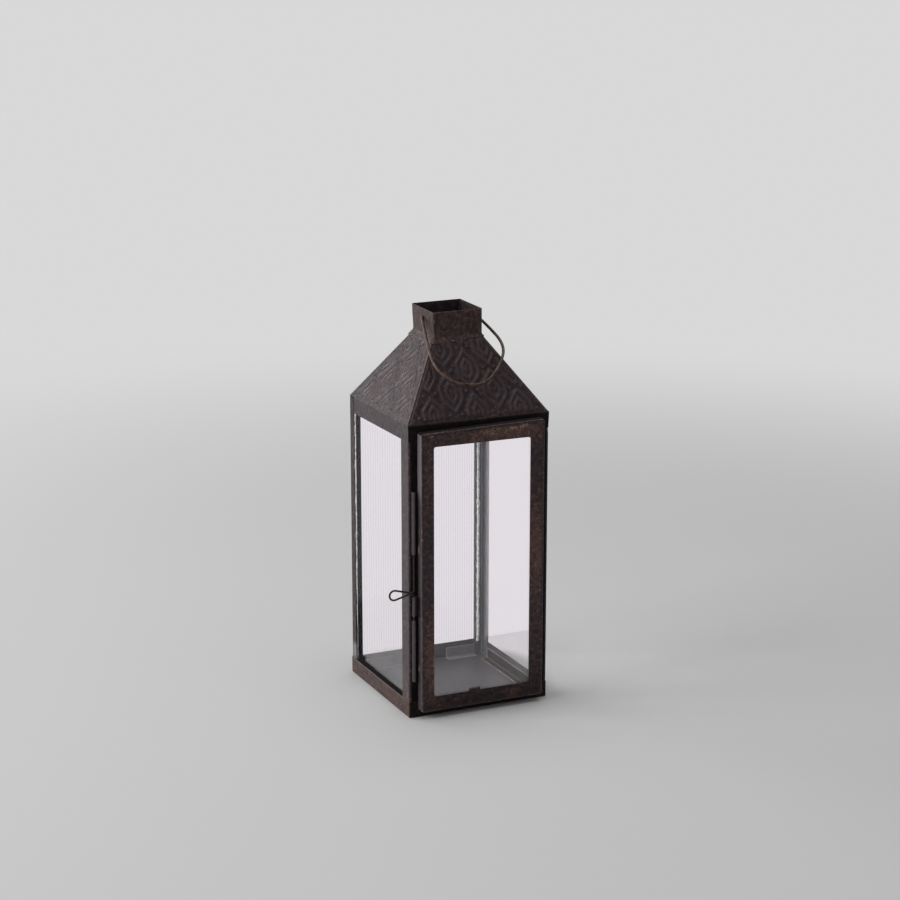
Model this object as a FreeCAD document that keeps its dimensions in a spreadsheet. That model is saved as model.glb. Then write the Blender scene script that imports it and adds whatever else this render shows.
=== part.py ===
import FreeCAD, Part
import math
import os
import re
import Sketcher

# Square candle lantern of tin plate and glass, with a pyramid roof and an open square neck.
# The body stands on its base with +Z up, the door faces -Y, and the origin is the middle of the
# underside. The door hangs on a wire pin at the right, a sliding wire bolt at the left locks it,
# and a loose wire bail swings in two holes of the neck. Lengths in millimetres, angles in degrees.

doc = FreeCAD.newDocument("TinLantern")

# Driving sizes: name, value, what it measures
SIZES = [
    ("tin", 0.5, "thickness of the tin plate"),
    ("body_width", 120.0, "width over the base band, both ways"),
    ("body_height", 235.4, "height of the eave"),
    ("base_band", 13.0, "height of the base pan's wall"),
    ("band_bend", 2.5, "outer radius of the upright corners"),
    ("post_leg", 11.5, "width of a corner post's leg"),
    ("apron", 13.0, "depth of the roof sheet folded down at the eave"),
    ("eave_bend", 1.0, "outer radius of the fold at the eave"),
    ("roof_rise_share", 1.462, "rise of the roof for each millimetre that it runs inwards"),
    ("neck_width", 41.2, "outer width of the square neck"),
    ("neck_height", 21.6, "height of the neck above the roof"),
    ("neck_tuck", 3.0, "length of the neck hidden inside the roof"),
    ("neck_foot", 4.5, "length of the neck's foot along the slope"),
    ("glass", 2.0, "thickness of the panes"),
    ("glass_play", 0.3, "free space beside a pane"),
    ("pane_lap", 6.0, "height of a pane hidden behind the apron"),
    ("rib_pitch", 2.1, "spacing of the ribs in the back pane"),
    ("rib_height", 0.3, "height of the ribs in the back pane"),
    ("rail_height", 9.0, "height of the rails that hold the panes' feet"),
    ("rail_foot", 6.0, "width of a rail's foot on the floor"),
    ("rail_end", 15.0, "distance of a side rail's ends from the pane's edges"),
    ("back_tab_length", 26.0, "length of each tab behind the back pane"),
    ("back_tab_end", 6.4, "distance of a back tab from the pane's edge"),
    ("clip_width", 9.0, "width of the clips at the panes' heads"),
    ("clip_spacing_share", 0.44, "distance between two clips, as a share of the pane's width"),
    ("clip_tail", 5.0, "height of a clip's tail on the apron"),
    ("clip_drop", 6.0, "length of a clip's lip behind the pane"),
    ("door_side", 7.5, "distance of the door's edges from the body's sides"),
    ("door_head", 5.8, "distance of the door's upper edge below the eave"),
    ("door_lift", 5.7, "height of the door's lower edge"),
    ("door_depth", 8.0, "depth of the door's folded rim"),
    ("door_bend", 1.0, "outer radius of the door's folds"),
    ("door_play", 0.2, "gap between the door's rim and the body"),
    ("stile", 11.0, "width of the door frame beside the pane"),
    ("top_rail", 10.8, "width of the door frame above the pane"),
    ("bottom_rail", 12.3, "width of the door frame below the pane"),
    ("opening_bend", 1.5, "radius in the corners of the door's opening"),
    ("door_clip_width", 10.0, "width of the clips that hold the door's pane"),
    ("door_clip_leg", 4.0, "length of a door clip's leg on the rim"),
    ("door_clip_lip", 5.0, "length of a door clip's lip behind the pane"),
    ("sill_clip_lip", 14.5, "length of the lip of the clip on the bottom rail"),
    ("wire", 1.5, "thickness of the bolt and of the hinge pin"),
    ("wire_play", 0.07, "free space round a wire in its tube"),
    ("tube_wall", 0.58, "wall of the rolled tubes"),
    ("tube_stand", 0.3, "height of the solder under a tube"),
    ("solder_width", 2.0, "width of the solder under a tube"),
    ("knuckle_play", 0.4, "gap between two knuckles of the hinge"),
    ("hinge_play", 0.2, "gap between a hinge tube and the door's rim"),
    ("hinge_leaf", 5.0, "width of the hinge leaf on the door's rim"),
    ("latch_gap", 3.8, "distance of the bolt from the door's rim"),
    ("keeper_foot", 4.5, "width of the keeper's foot on the door's rim"),
    ("lower_tube_base", 30.2, "height of the lower tubes' lower end"),
    ("lower_tube_length", 49.9, "length of the lower tubes"),
    ("keeper_base", 83.8, "height of the keeper's lower end"),
    ("keeper_length", 15.5, "length of the keeper"),
    ("upper_tube_base", 133.6, "height of the upper tubes' lower end"),
    ("upper_tube_length", 49.7, "length of the upper tubes"),
    ("bolt_top", 152.0, "height of the bolt's upper end"),
    ("bolt_bottom", 75.0, "height of the bolt's lower end"),
    ("loop_level", 102.8, "height of the middle of the finger loop"),
    ("loop_height", 9.3, "height of the finger loop"),
    ("loop_reach", 21.2, "distance from the bolt's line to the loop's tip"),
    ("loop_root", 4.6, "distance from the bolt's line to where the loop opens"),
    ("loop_bend", 2.0, "radius of the bolt's bends"),
    ("loop_pinch", 0.1, "gap between the two wires at the loop's root"),
    ("bail_wire", 2.3, "thickness of the bail"),
    ("bail_play", 0.25, "free space round the bail in its holes and beside the neck"),
    ("bail_depth", 8.0, "depth of the bail's holes below the neck's rim"),
    ("bail_angle", 51.5, "angle of the bail at rest from hanging straight down"),
    ("bail_width", 64.0, "width of the bail"),
    ("bail_drop", 72.0, "length of the bail from its holes"),
    ("bail_bend", 1.6, "radius of the bends at the holes"),
    ("bail_hook", 5.0, "length of the bail's ends inside the neck"),
    ("bail_inset", 3.1, "distance of the bail's ends from the neck's outside"),
    ("overrun", 1.0, "length by which a cut passes the surface it opens"),
]

# Places worked out from the driving sizes
PLACES = {
    "half": "body_width / 2",
    "post_face": "half - tin",
    "post_inside": "post_face - tin",
    "pane_outside": "post_inside - glass_play",
    "pane_inside": "pane_outside - glass",
    "pane_half": "half - tin - band_bend",
    "pane_top": "body_height - apron + pane_lap",
    "side_rail_length": "2 * (pane_half - rail_end)",
    "back_pane_half": "pane_inside - glass_play",
    "back_tab_middle": "back_pane_half - back_tab_end - back_tab_length / 2",
    "clip_spacing": "2 * pane_half * clip_spacing_share",
    "lip_outside": "pane_inside - glass_play",
    "lip_inside": "lip_outside - tin",
    "clip_level": "pane_top + glass_play",
    "neck_half": "neck_width / 2",
    "roof_run": "half - neck_half",
    "roof_rise": "roof_run * roof_rise_share",
    "roof_top": "body_height + roof_rise",
    "roof_slope": "hypot(roof_run; roof_rise)",
    "roof_skin": "tin * roof_slope / roof_run",
    "foot_run": "neck_foot * roof_run / roof_slope",
    "foot_drop": "neck_foot * roof_rise / roof_slope",
    "door_half": "half - door_side",
    "door_rim": "half + door_play",
    "door_face": "door_rim + door_depth",
    "door_top": "body_height - door_head",
    "door_clip_spacing": "(door_top - door_lift) / 2",
    "door_glass_front": "door_face - tin - glass_play",
    "door_glass_back": "door_glass_front - glass",
    "door_inside": "door_half - tin",
    "door_clip_front": "door_glass_back - glass_play",
    "tube_radius": "wire / 2 + wire_play + tube_wall",
    "tube_bore": "wire / 2 + wire_play",
    "tube_line": "post_face + tube_stand + tube_radius",
    "latch_line": "door_half + latch_gap",
    "hinge_line": "door_half + hinge_play + tube_radius",
    "lower_tube_top": "lower_tube_base + lower_tube_length",
    "upper_tube_top": "upper_tube_base + upper_tube_length",
    "bail_level": "roof_top + neck_height - bail_depth",
    "bail_side": "neck_half + bail_play + bail_wire / 2",
}

# The bail's corners below its holes, as shares of its width and of its drop, before each is cut to
# two at a share of its runs. It is bowed by hand, fuller at the right than at the left.
BAIL_SHARES = [
    (-0.487, 0.701),
    (-0.308, 0.947),
    (-0.128, 1.004),
    (0.117, 1.003),
    (0.406, 0.764),
    (0.580, 0.497),
    (0.450, 0.168),
]
BAIL_CUT_SHARE = 0.25

sheet = doc.addObject("Spreadsheet::Sheet", "Sizes")
for row, (name, number, note) in enumerate(SIZES, start=1):
    sheet.set(f"A{row}", name)
    sheet.set(f"B{row}", str(number))
    sheet.set(f"C{row}", note)
    sheet.setAlias(f"B{row}", name)
doc.recompute()

SIZE_NAMES = {name for name, number, note in SIZES}


def formula(words):
    """Writes a formula out in the sheet's cells, for setExpression."""
    def cell(match):
        name = match.group()
        if name in PLACES:
            return "(" + formula(PLACES[name]) + ")"
        if name in SIZE_NAMES:
            return "Sizes." + name
        return name
    return re.sub(r"[a-z_]+", cell, words)


def value(words):
    """The number that a formula gives now."""
    return float(sheet.evalExpression(formula(words)))


def new_body(name):
    body = doc.addObject("PartDesign::Body", name)
    body.Label = name
    return body


def origin_feature(body, role):
    return [item for item in body.Origin.OriginFeatures if item.Role == role][0]


def new_sketch(body, plane, name, offset=None):
    """A sketch on one of the body's own origin planes, moved along the plane's normal."""
    sketch = body.newObject("Sketcher::SketchObject", name)
    sketch.AttachmentSupport = [(origin_feature(body, plane), "")]
    sketch.MapMode = "FlatFace"
    if offset is not None:
        sketch.setExpression("AttachmentOffset.Base.z", formula(offset))
    doc.recompute()
    return sketch


def pin_point(sketch, item, end, across, up):
    """Holds one point of a sketch at two formulas, measured from the origin."""
    for kind, words, axis in (("DistanceX", across, -2), ("DistanceY", up, -1)):
        if words == "0":
            sketch.addConstraint(Sketcher.Constraint("PointOnObject", item, end, axis))
        else:
            held = Sketcher.Constraint(kind, -1, 1, item, end, value(words))
            number = sketch.addConstraint(held)
            sketch.setExpression(f"Constraints[{number}]", formula(words))


def add_outline(sketch, points):
    """A closed outline of straight lines through points that are given as formulas."""
    first = sketch.GeometryCount
    corners = [FreeCAD.Vector(value(across), value(up), 0) for across, up in points]
    count = len(points)
    for index, corner in enumerate(corners):
        sketch.addGeometry(Part.LineSegment(corner, corners[(index + 1) % count]))
    for index in range(count):
        following = first + (index + 1) % count
        sketch.addConstraint(Sketcher.Constraint("Coincident", first + index, 2, following, 1))
    for index, (across, up) in enumerate(points):
        pin_point(sketch, first + index, 1, across, up)


def add_rectangle(sketch, left, right, low, high):
    add_outline(sketch, [(left, low), (right, low), (right, high), (left, high)])


def add_circle(sketch, across, up, radius):
    centre = FreeCAD.Vector(value(across), value(up), 0)
    normal = FreeCAD.Vector(0, 0, 1)
    item = sketch.addGeometry(Part.Circle(centre, normal, value(radius)))
    pin_point(sketch, item, 3, across, up)
    number = sketch.addConstraint(Sketcher.Constraint("Radius", item, value(radius)))
    sketch.setExpression(f"Constraints[{number}]", formula(radius))


def pad(body, sketch, name, length, midplane=False, reverse=False):
    feature = body.newObject("PartDesign::Pad", name)
    feature.Profile = sketch
    feature.setExpression("Length", formula(length))
    feature.Midplane = midplane
    feature.Reversed = reverse
    doc.recompute()
    return feature


def pocket(body, sketch, name):
    """Cuts a sketch both ways through the whole body, and makes sure that it did cut."""
    before = body.Shape.Volume
    feature = body.newObject("PartDesign::Pocket", name)
    feature.Profile = sketch
    feature.Type = "ThroughAll"
    feature.Midplane = True
    doc.recompute()
    if not body.Shape.Volume < before:
        raise RuntimeError(f"{body.Label}: {name} cuts nothing")
    return feature


def edges_where(feature, wanted):
    """Names of the edges whose middle point and direction meet a test."""
    names = []
    for number, edge in enumerate(feature.Shape.Edges, start=1):
        middle = edge.CenterOfMass
        along = edge.tangentAt(edge.FirstParameter)
        if wanted(middle, along):
            names.append(f"Edge{number}")
    return names


def fillet(body, base, name, wanted, radius):
    feature = body.newObject("PartDesign::Fillet", name)
    feature.Base = (base, edges_where(base, wanted))
    feature.setExpression("Radius", formula(radius))
    doc.recompute()
    return feature


def close(number, other):
    return abs(number - other) < value("tin") / 4


def turned(body, angle):
    """Turns a piece that was drawn for the front about the lantern's upright line."""
    turn = FreeCAD.Rotation(FreeCAD.Vector(0, 0, 1), angle)
    body.Placement = FreeCAD.Placement(FreeCAD.Vector(), turn)
    doc.recompute()


def bent_run(points, radii):
    """Straight runs joined by tangent arcs, or by a plain corner where the radius is zero."""
    pieces = []
    here = points[0]
    for before, corner, after, radius in zip(points, points[1:], points[2:], radii):
        if radius == 0:
            pieces.append(Part.LineSegment(here, corner))
            here = corner
            continue
        into = (corner - before).normalize()
        out = (after - corner).normalize()
        turn = into.getAngle(out)
        reach = radius * math.tan(turn / 2)
        start = corner - into * reach
        finish = corner + out * reach
        inward = (out - into).normalize()
        middle = corner + inward * (radius / math.cos(turn / 2) - radius)
        pieces.append(Part.LineSegment(here, start))
        pieces.append(Part.Arc(start, middle, finish))
        here = finish
    pieces.append(Part.LineSegment(here, points[-1]))
    return pieces


def wire_pipe(body, spine, profile):
    feature = body.newObject("PartDesign::AdditivePipe", "Wire")
    feature.Profile = profile
    feature.Spine = (spine, [])
    feature.Transition = "Right corner"
    doc.recompute()
    length = sum(edge.Length for edge in spine.Shape.Edges)
    section = profile.Shape.Edges[0].Length ** 2 / (4 * math.pi)
    share = feature.Shape.Volume / (section * length)
    print(f"{body.Label}: {length:.1f} mm of wire, volume share {share:.4f}")
    return feature


# Base pan: a shallow tray with upright walls, pressed from one sheet
def make_base_pan():
    body = new_body("base_pan")
    outline = new_sketch(body, "XY_Plane", "PanOutline")
    add_rectangle(outline, "-half", "half", "-half", "half")
    block = pad(body, outline, "PanBlock", "base_band")
    corners = fillet(body, block, "PanCorners", lambda middle, along: close(abs(along.z), 1), "band_bend")
    rim = [
        f"Face{number}"
        for number, face in enumerate(corners.Shape.Faces, start=1)
        if close(face.CenterOfMass.z, value("base_band"))
    ]
    shell = body.newObject("PartDesign::Thickness", "PanShell")
    shell.Base = (corners, rim)
    shell.setExpression("Value", formula("tin"))
    shell.Reversed = True
    doc.recompute()


# Corner posts: angles that stand inside the pan and inside the apron
def make_corner_post(name, side, front):
    body = new_body(name)
    across = "" if side > 0 else "-"
    along_y = "" if front < 0 else "-"
    profile = new_sketch(body, "XY_Plane", "PostProfile", "tin")
    leg_end = "(post_face - post_leg)"
    face, inside = "(post_face)", "(post_inside)"
    add_outline(profile, [
        (across + face, along_y + face),
        (across + leg_end, along_y + face),
        (across + leg_end, along_y + inside),
        (across + inside, along_y + inside),
        (across + inside, along_y + leg_end),
        (across + face, along_y + leg_end),
    ])
    post = pad(body, profile, "Post", "body_height - tin - eave_bend")
    outer, inner = value("post_face"), value("post_inside")
    bend = fillet(
        body, post, "PostBend",
        lambda middle, along: close(abs(middle.x), outer) and close(abs(middle.y), outer), "band_bend")
    fillet(
        body, bend, "PostBendInside",
        lambda middle, along: close(abs(middle.x), inner) and close(abs(middle.y), inner), "band_bend - tin")


# Roof: four folded sheets, each an apron below the eave and a slope up to the neck
def make_roof_sheet(name, angle):
    body = new_body(name)
    profile = new_sketch(body, "YZ_Plane", "SheetProfile")
    add_outline(profile, [
        ("-half", "body_height - apron"),
        ("-half", "body_height"),
        ("-neck_half", "roof_top"),
        ("-neck_half", "roof_top - roof_skin"),
        ("-post_face", "body_height + tin * roof_rise / roof_run - roof_skin"),
        ("-post_face", "body_height - apron"),
    ])
    sheet_pad = pad(body, profile, "Sheet", "body_width", midplane=True)
    eave = value("body_height")
    fillet(
        body, sheet_pad, "EaveFold",
        lambda middle, along: close(middle.z, eave) and close(middle.y, -value("half")), "eave_bend")
    hips = new_sketch(body, "XY_Plane", "Hips")
    for across in ("", "-"):
        add_outline(hips, [
            (f"{across}(neck_half - overrun)", "-(neck_half - overrun)"),
            (f"{across}(half + overrun)", "-(half + overrun)"),
            (f"{across}(half + overrun)", "-(neck_half - overrun)"),
        ])
    pocket(body, hips, "HipCut")
    turned(body, angle)


# Neck: an open square sleeve with a splayed foot that lies on the roof
def make_neck():
    body = new_body("neck_sleeve")
    lower, upper = "roof_top - foot_drop", "roof_top"
    wide = "neck_half + foot_run"

    def square(name, offset, size):
        sketch = new_sketch(body, "XY_Plane", name, offset)
        add_rectangle(sketch, f"-({size})", size, f"-({size})", size)
        return sketch

    pad(body, square("FootRim", lower, wide), "FootEdge", "roof_skin")
    splay = body.newObject("PartDesign::AdditiveLoft", "FootSplay")
    splay.Profile = square("SplayLow", f"{lower} + roof_skin", wide)
    splay.Sections = [square("SplayHigh", f"{upper} + roof_skin", "neck_half")]
    splay.Ruled = True
    doc.recompute()
    hollow = body.newObject("PartDesign::SubtractiveLoft", "FootHollow")
    hollow.Profile = square("HollowLow", lower, wide)
    hollow.Sections = [square("HollowHigh", upper, "neck_half")]
    hollow.Ruled = True
    doc.recompute()
    if not hollow.Shape.Volume < splay.Shape.Volume:
        raise RuntimeError("the neck's foot isn't hollow")
    sleeve = square("SleeveOutline", "roof_top - neck_tuck", "neck_half")
    pad(body, sleeve, "Sleeve", "neck_tuck + neck_height")
    flue = new_sketch(body, "XY_Plane", "Flue")
    add_rectangle(flue, "-(neck_half - tin)", "neck_half - tin", "-(neck_half - tin)", "neck_half - tin")
    pocket(body, flue, "FlueCut")
    holes = new_sketch(body, "YZ_Plane", "BailHoles")
    add_circle(holes, "0", "bail_level", "bail_wire / 2 + bail_play")
    pocket(body, holes, "BailHoleCut")


# Panes of the left and right windows, and the ribbed pane of the back
def make_side_pane(name, angle):
    body = new_body(name)
    outline = new_sketch(body, "XY_Plane", "PaneOutline", "tin")
    add_rectangle(outline, "-pane_half", "pane_half", "-pane_outside", "-pane_inside")
    pad(body, outline, "Pane", "pane_top - tin")
    turned(body, angle)


def make_back_pane():
    body = new_body("glass_back")
    half_width = "back_pane_half"
    ground = "(pane_inside + rib_height)"
    outline = new_sketch(body, "XY_Plane", "PaneOutline", "tin")
    add_rectangle(outline, f"-{half_width}", half_width, ground, "pane_outside")
    pad(body, outline, "Pane", "pane_top - tin")
    rib = new_sketch(body, "XY_Plane", "RibProfile", "tin")
    start = FreeCAD.Vector(-value(half_width), value(ground), 0)
    finish = start + FreeCAD.Vector(value("rib_pitch"), 0, 0)
    crown = (start + finish) / 2 - FreeCAD.Vector(0, value("rib_height"), 0)
    rib.addGeometry(Part.LineSegment(finish, start))
    rib.addGeometry(Part.Arc(start, crown, finish))
    rib.addConstraint(Sketcher.Constraint("Coincident", 0, 2, 1, 1))
    rib.addConstraint(Sketcher.Constraint("Coincident", 0, 1, 1, 2))
    pin_point(rib, 0, 2, f"-{half_width}", ground)
    pin_point(rib, 0, 1, f"-{half_width} + rib_pitch", ground)
    radius = "(rib_pitch ^ 2 / 4 + rib_height ^ 2) / (2 * rib_height)"
    number = rib.addConstraint(Sketcher.Constraint("Radius", 1, value(radius)))
    rib.setExpression(f"Constraints[{number}]", formula(radius))
    first_rib = pad(body, rib, "Rib", "pane_top - tin")
    ribs = body.newObject("PartDesign::LinearPattern", "Ribs")
    ribs.Originals = [first_rib]
    ribs.Direction = (origin_feature(body, "X_Axis"), [""])
    count = f"floor(2 * {half_width} / rib_pitch)"
    ribs.setExpression("Occurrences", formula(count))
    ribs.setExpression("Length", formula(f"({count} - 1) * rib_pitch"))
    body.Tip = ribs
    doc.recompute()


# Holders of the panes, drawn at the front and turned to their side: low rails and tabs on the
# floor behind each pane's foot, and two clips under the roof over each pane's head
def make_floor_rail(name, angle, length, middle):
    body = new_body(name)
    profile = new_sketch(body, "YZ_Plane", "RailProfile", middle)
    add_outline(profile, [
        ("-lip_outside", "tin"),
        ("-lip_outside", "tin + rail_height"),
        ("-lip_inside", "tin + rail_height"),
        ("-lip_inside", "2 * tin"),
        ("-(lip_outside - rail_foot)", "2 * tin"),
        ("-(lip_outside - rail_foot)", "tin"),
    ])
    pad(body, profile, "Rail", length, midplane=True)
    turned(body, angle)


def make_head_clips(name, angle):
    body = new_body(name)
    profile = new_sketch(body, "YZ_Plane", "ClipProfile", "clip_spacing / 2")
    add_outline(profile, [
        ("-post_face", "clip_level"),
        ("-post_face", "clip_level + clip_tail"),
        ("-post_inside", "clip_level + clip_tail"),
        ("-post_inside", "clip_level + tin"),
        ("-lip_inside", "clip_level + tin"),
        ("-lip_inside", "pane_top - clip_drop"),
        ("-lip_outside", "pane_top - clip_drop"),
        ("-lip_outside", "clip_level"),
    ])
    clip = pad(body, profile, "Clip", "clip_width", midplane=True)
    pair = body.newObject("PartDesign::Mirrored", "ClipPair")
    pair.Originals = [clip]
    pair.MirrorPlane = (origin_feature(body, "YZ_Plane"), [""])
    body.Tip = pair
    doc.recompute()
    turned(body, angle)


# Door: one sheet folded back at its four edges, with the window cut out of it
def make_door_frame():
    body = new_body("door_frame")
    outline = new_sketch(body, "XZ_Plane", "DoorOutline", "door_rim")
    add_rectangle(outline, "-door_half", "door_half", "door_lift", "door_top")
    block = pad(body, outline, "DoorBlock", "door_depth")
    rim, face = value("door_rim"), value("door_face")
    folds = fillet(body, block, "DoorFolds", lambda middle, along: close(middle.y, -face), "door_bend")
    back = [
        f"Face{number}"
        for number, item in enumerate(folds.Shape.Faces, start=1)
        if close(item.CenterOfMass.y, -rim)
    ]
    shell = body.newObject("PartDesign::Thickness", "DoorShell")
    shell.Base = (folds, back)
    shell.setExpression("Value", formula("tin"))
    shell.Reversed = True
    doc.recompute()
    window = new_sketch(body, "XZ_Plane", "Window", "door_rim")
    low, high = "door_lift + bottom_rail", "door_top - top_rail"
    add_rectangle(window, "-(door_half - stile)", "door_half - stile", low, high)
    cut = pocket(body, window, "WindowCut")
    side = value("door_half - stile")
    fillet(
        body, cut, "WindowCorners",
        lambda middle, along: close(abs(along.y), 1) and close(abs(middle.x), side), "opening_bend")


def make_door_pane():
    body = new_body("door_glass")
    outline = new_sketch(body, "XZ_Plane", "PaneOutline", "door_glass_back")
    edge = "door_inside - glass_play"
    low, high = "door_lift + tin + glass_play", "door_top - tin - glass_play"
    add_rectangle(outline, f"-({edge})", edge, low, high)
    pad(body, outline, "Pane", "glass")


def make_door_clips():
    body = new_body("door_glass_clips")
    lip_back = "door_clip_front - tin"
    leg_back = "door_clip_front - door_clip_leg"
    stile_clips = new_sketch(body, "XY_Plane", "StileClips", "door_lift + door_clip_spacing / 2")
    for across in ("", "-"):
        add_outline(stile_clips, [
            (f"{across}(door_inside)", "-(door_clip_front)"),
            (f"{across}(door_inside)", f"-({leg_back})"),
            (f"{across}(door_inside - tin)", f"-({leg_back})"),
            (f"{across}(door_inside - tin)", f"-({lip_back})"),
            (f"{across}(door_inside - door_clip_lip)", f"-({lip_back})"),
            (f"{across}(door_inside - door_clip_lip)", "-(door_clip_front)"),
        ])
    pair = pad(body, stile_clips, "StilePair", "door_clip_width", midplane=True)
    pattern = body.newObject("PartDesign::LinearPattern", "StileClipSet")
    pattern.Originals = [pair]
    pattern.Direction = (origin_feature(body, "Z_Axis"), [""])
    pattern.Occurrences = 2
    pattern.setExpression("Length", formula("door_clip_spacing"))
    body.Tip = pattern
    doc.recompute()
    floor, ceiling = "door_lift + tin", "door_top - tin"
    rail_clips = new_sketch(body, "YZ_Plane", "RailClips")
    for base, way, lip in ((floor, "+", "sill_clip_lip"), (ceiling, "-", "door_clip_lip")):
        add_outline(rail_clips, [
            ("-(door_clip_front)", base),
            (f"-({leg_back})", base),
            (f"-({leg_back})", f"{base} {way} tin"),
            (f"-({lip_back})", f"{base} {way} tin"),
            (f"-({lip_back})", f"{base} {way} {lip}"),
            ("-(door_clip_front)", f"{base} {way} {lip}"),
        ])
    pad(body, rail_clips, "RailClipPair", "door_clip_width", midplane=True)


# Rolled tubes: two on the body at each side, with the solder that they stand on
def make_body_tube(name, line, base, length):
    body = new_body(name)
    barrel = new_sketch(body, "XY_Plane", "Barrel", base)
    add_circle(barrel, line, "-tube_line", "tube_radius")
    pad(body, barrel, "Tube", length)
    seat = new_sketch(body, "XY_Plane", "Seat", base)
    add_rectangle(
        seat, f"{line} - solder_width / 2", f"{line} + solder_width / 2",
        "-(tube_line - tube_bore - tube_wall / 2)", "-post_face")
    pad(body, seat, "Solder", length)
    bore = new_sketch(body, "XY_Plane", "Bore", base)
    add_circle(bore, line, "-tube_line", "tube_bore")
    pocket(body, bore, "BoreCut")


# Keeper: the short tube on the door, rolled from a strip whose end is soldered to the rim
def make_keeper():
    body = new_body("latch_keeper")
    barrel = new_sketch(body, "XY_Plane", "Barrel", "keeper_base")
    add_circle(barrel, "-(latch_line)", "-tube_line", "tube_radius")
    pad(body, barrel, "Tube", "keeper_length")
    strip = new_sketch(body, "XY_Plane", "Strip", "keeper_base")
    strip_back = "-(tube_line - tube_radius)"
    strip_front = "-(tube_line - tube_radius + tin)"
    add_outline(strip, [
        ("-(latch_line)", strip_back),
        ("-(door_half)", strip_back),
        ("-(door_half)", "-(door_rim + keeper_foot)"),
        ("-(door_half + tin)", "-(door_rim + keeper_foot)"),
        ("-(door_half + tin)", strip_front),
        ("-(latch_line)", strip_front),
    ])
    pad(body, strip, "StripFold", "keeper_length")
    bore = new_sketch(body, "XY_Plane", "Bore", "keeper_base")
    add_circle(bore, "-(latch_line)", "-tube_line", "tube_bore")
    pocket(body, bore, "BoreCut")


# Door's half of the hinge: one long knuckle with a leaf on the rim, and the pin through all three
def make_hinge_knuckle():
    body = new_body("hinge_knuckle_door")
    base = "lower_tube_top + knuckle_play"
    length = "upper_tube_base - lower_tube_top - 2 * knuckle_play"
    barrel = new_sketch(body, "XY_Plane", "Barrel", base)
    add_circle(barrel, "hinge_line", "-tube_line", "tube_radius")
    pad(body, barrel, "Tube", length)
    leaf = new_sketch(body, "XY_Plane", "Leaf", base)
    add_rectangle(leaf, "door_half", "door_half + tin", "-(door_rim + hinge_leaf)", "-(door_rim)")
    pad(body, leaf, "LeafStrip", length)
    bore = new_sketch(body, "XY_Plane", "Bore", base)
    add_circle(bore, "hinge_line", "-tube_line", "tube_bore")
    pocket(body, bore, "BoreCut")


def make_hinge_pin():
    body = new_body("hinge_pin")
    section = new_sketch(body, "XY_Plane", "PinSection", "lower_tube_base")
    add_circle(section, "hinge_line", "-tube_line", "wire / 2")
    pad(body, section, "Pin", "upper_tube_top - lower_tube_base")


# Bolt: one wire that runs down its tubes and is bent out to a finger loop between them. The loop
# is a round tip whose two tangents meet at its root.
def make_bolt():
    body = new_body("latch_bolt")
    spine = new_sketch(body, "XZ_Plane", "BoltLine", "tube_line")
    line, level = -value("latch_line"), value("loop_level")
    gap = value("wire / 2 + loop_pinch / 2")
    root = line - value("loop_root")
    tip_radius = value("(loop_height - wire) / 2")
    tip = line - value("loop_reach - wire / 2") + tip_radius
    distance = math.hypot(root - tip, gap)
    slope = math.asin(tip_radius / distance) - math.atan2(gap, root - tip)
    touch = FreeCAD.Vector(tip + tip_radius * math.sin(slope), tip_radius * math.cos(slope), 0)
    bend = value("loop_bend")
    upper = bent_run([
        FreeCAD.Vector(line, value("bolt_top") - level, 0),
        FreeCAD.Vector(line, gap, 0),
        FreeCAD.Vector(root, gap, 0),
        touch,
    ], [bend, bend])
    lower = bent_run([
        FreeCAD.Vector(touch.x, -touch.y, 0),
        FreeCAD.Vector(root, -gap, 0),
        FreeCAD.Vector(line, -gap, 0),
        FreeCAD.Vector(line, value("bolt_bottom") - level, 0),
    ], [bend, bend])
    end = FreeCAD.Vector(tip - tip_radius, 0, 0)
    loop = Part.Arc(touch, end, FreeCAD.Vector(touch.x, -touch.y, 0))
    for piece in upper + [loop] + lower:
        piece.translate(FreeCAD.Vector(0, level, 0))
        spine.addGeometry(piece)
    section = new_sketch(body, "XY_Plane", "BoltSection", "bolt_top")
    add_circle(section, "-latch_line", "-tube_line", "wire / 2")
    wire_pipe(body, spine, section)


# Bail: a loose wire hoop, drawn hanging straight down from its holes and then leaned forward to
# where it rests on the roof's front hips. Each end turns down sharply inside the neck.
def make_bail():
    body = new_body("bail")
    spine = new_sketch(body, "XZ_Plane", "BailLine")
    width, drop = value("bail_width"), value("bail_drop")
    inner, outer = value("neck_half - bail_inset"), value("bail_side")
    hook = value("bail_hook")
    points = [FreeCAD.Vector(-inner, -hook, 0), FreeCAD.Vector(-inner, 0, 0), FreeCAD.Vector(-outer, 0, 0)]
    bow = [FreeCAD.Vector(across * width, -down * drop, 0) for across, down in BAIL_SHARES]
    bow = [FreeCAD.Vector(-outer, 0, 0)] + bow + [FreeCAD.Vector(outer, 0, 0)]
    for before, corner, after in zip(bow, bow[1:], bow[2:]):
        points.append(corner + (before - corner) * BAIL_CUT_SHARE)
        points.append(corner + (after - corner) * BAIL_CUT_SHARE)
    points += [FreeCAD.Vector(outer, 0, 0), FreeCAD.Vector(inner, 0, 0), FreeCAD.Vector(inner, -hook, 0)]
    radii = [value("bail_bend") if close(abs(corner.x), outer) else 0 for corner in points[1:-1]]
    for piece in bent_run(points, radii):
        spine.addGeometry(piece)
    section = new_sketch(body, "XY_Plane", "BailSection", "-bail_hook")
    add_circle(section, "-(neck_half - bail_inset)", "0", "bail_wire / 2")
    wire_pipe(body, spine, section)
    lean = FreeCAD.Rotation(FreeCAD.Vector(1, 0, 0), -value("bail_angle"))
    body.Placement = FreeCAD.Placement(FreeCAD.Vector(0, 0, value("bail_level")), lean)
    doc.recompute()


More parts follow.
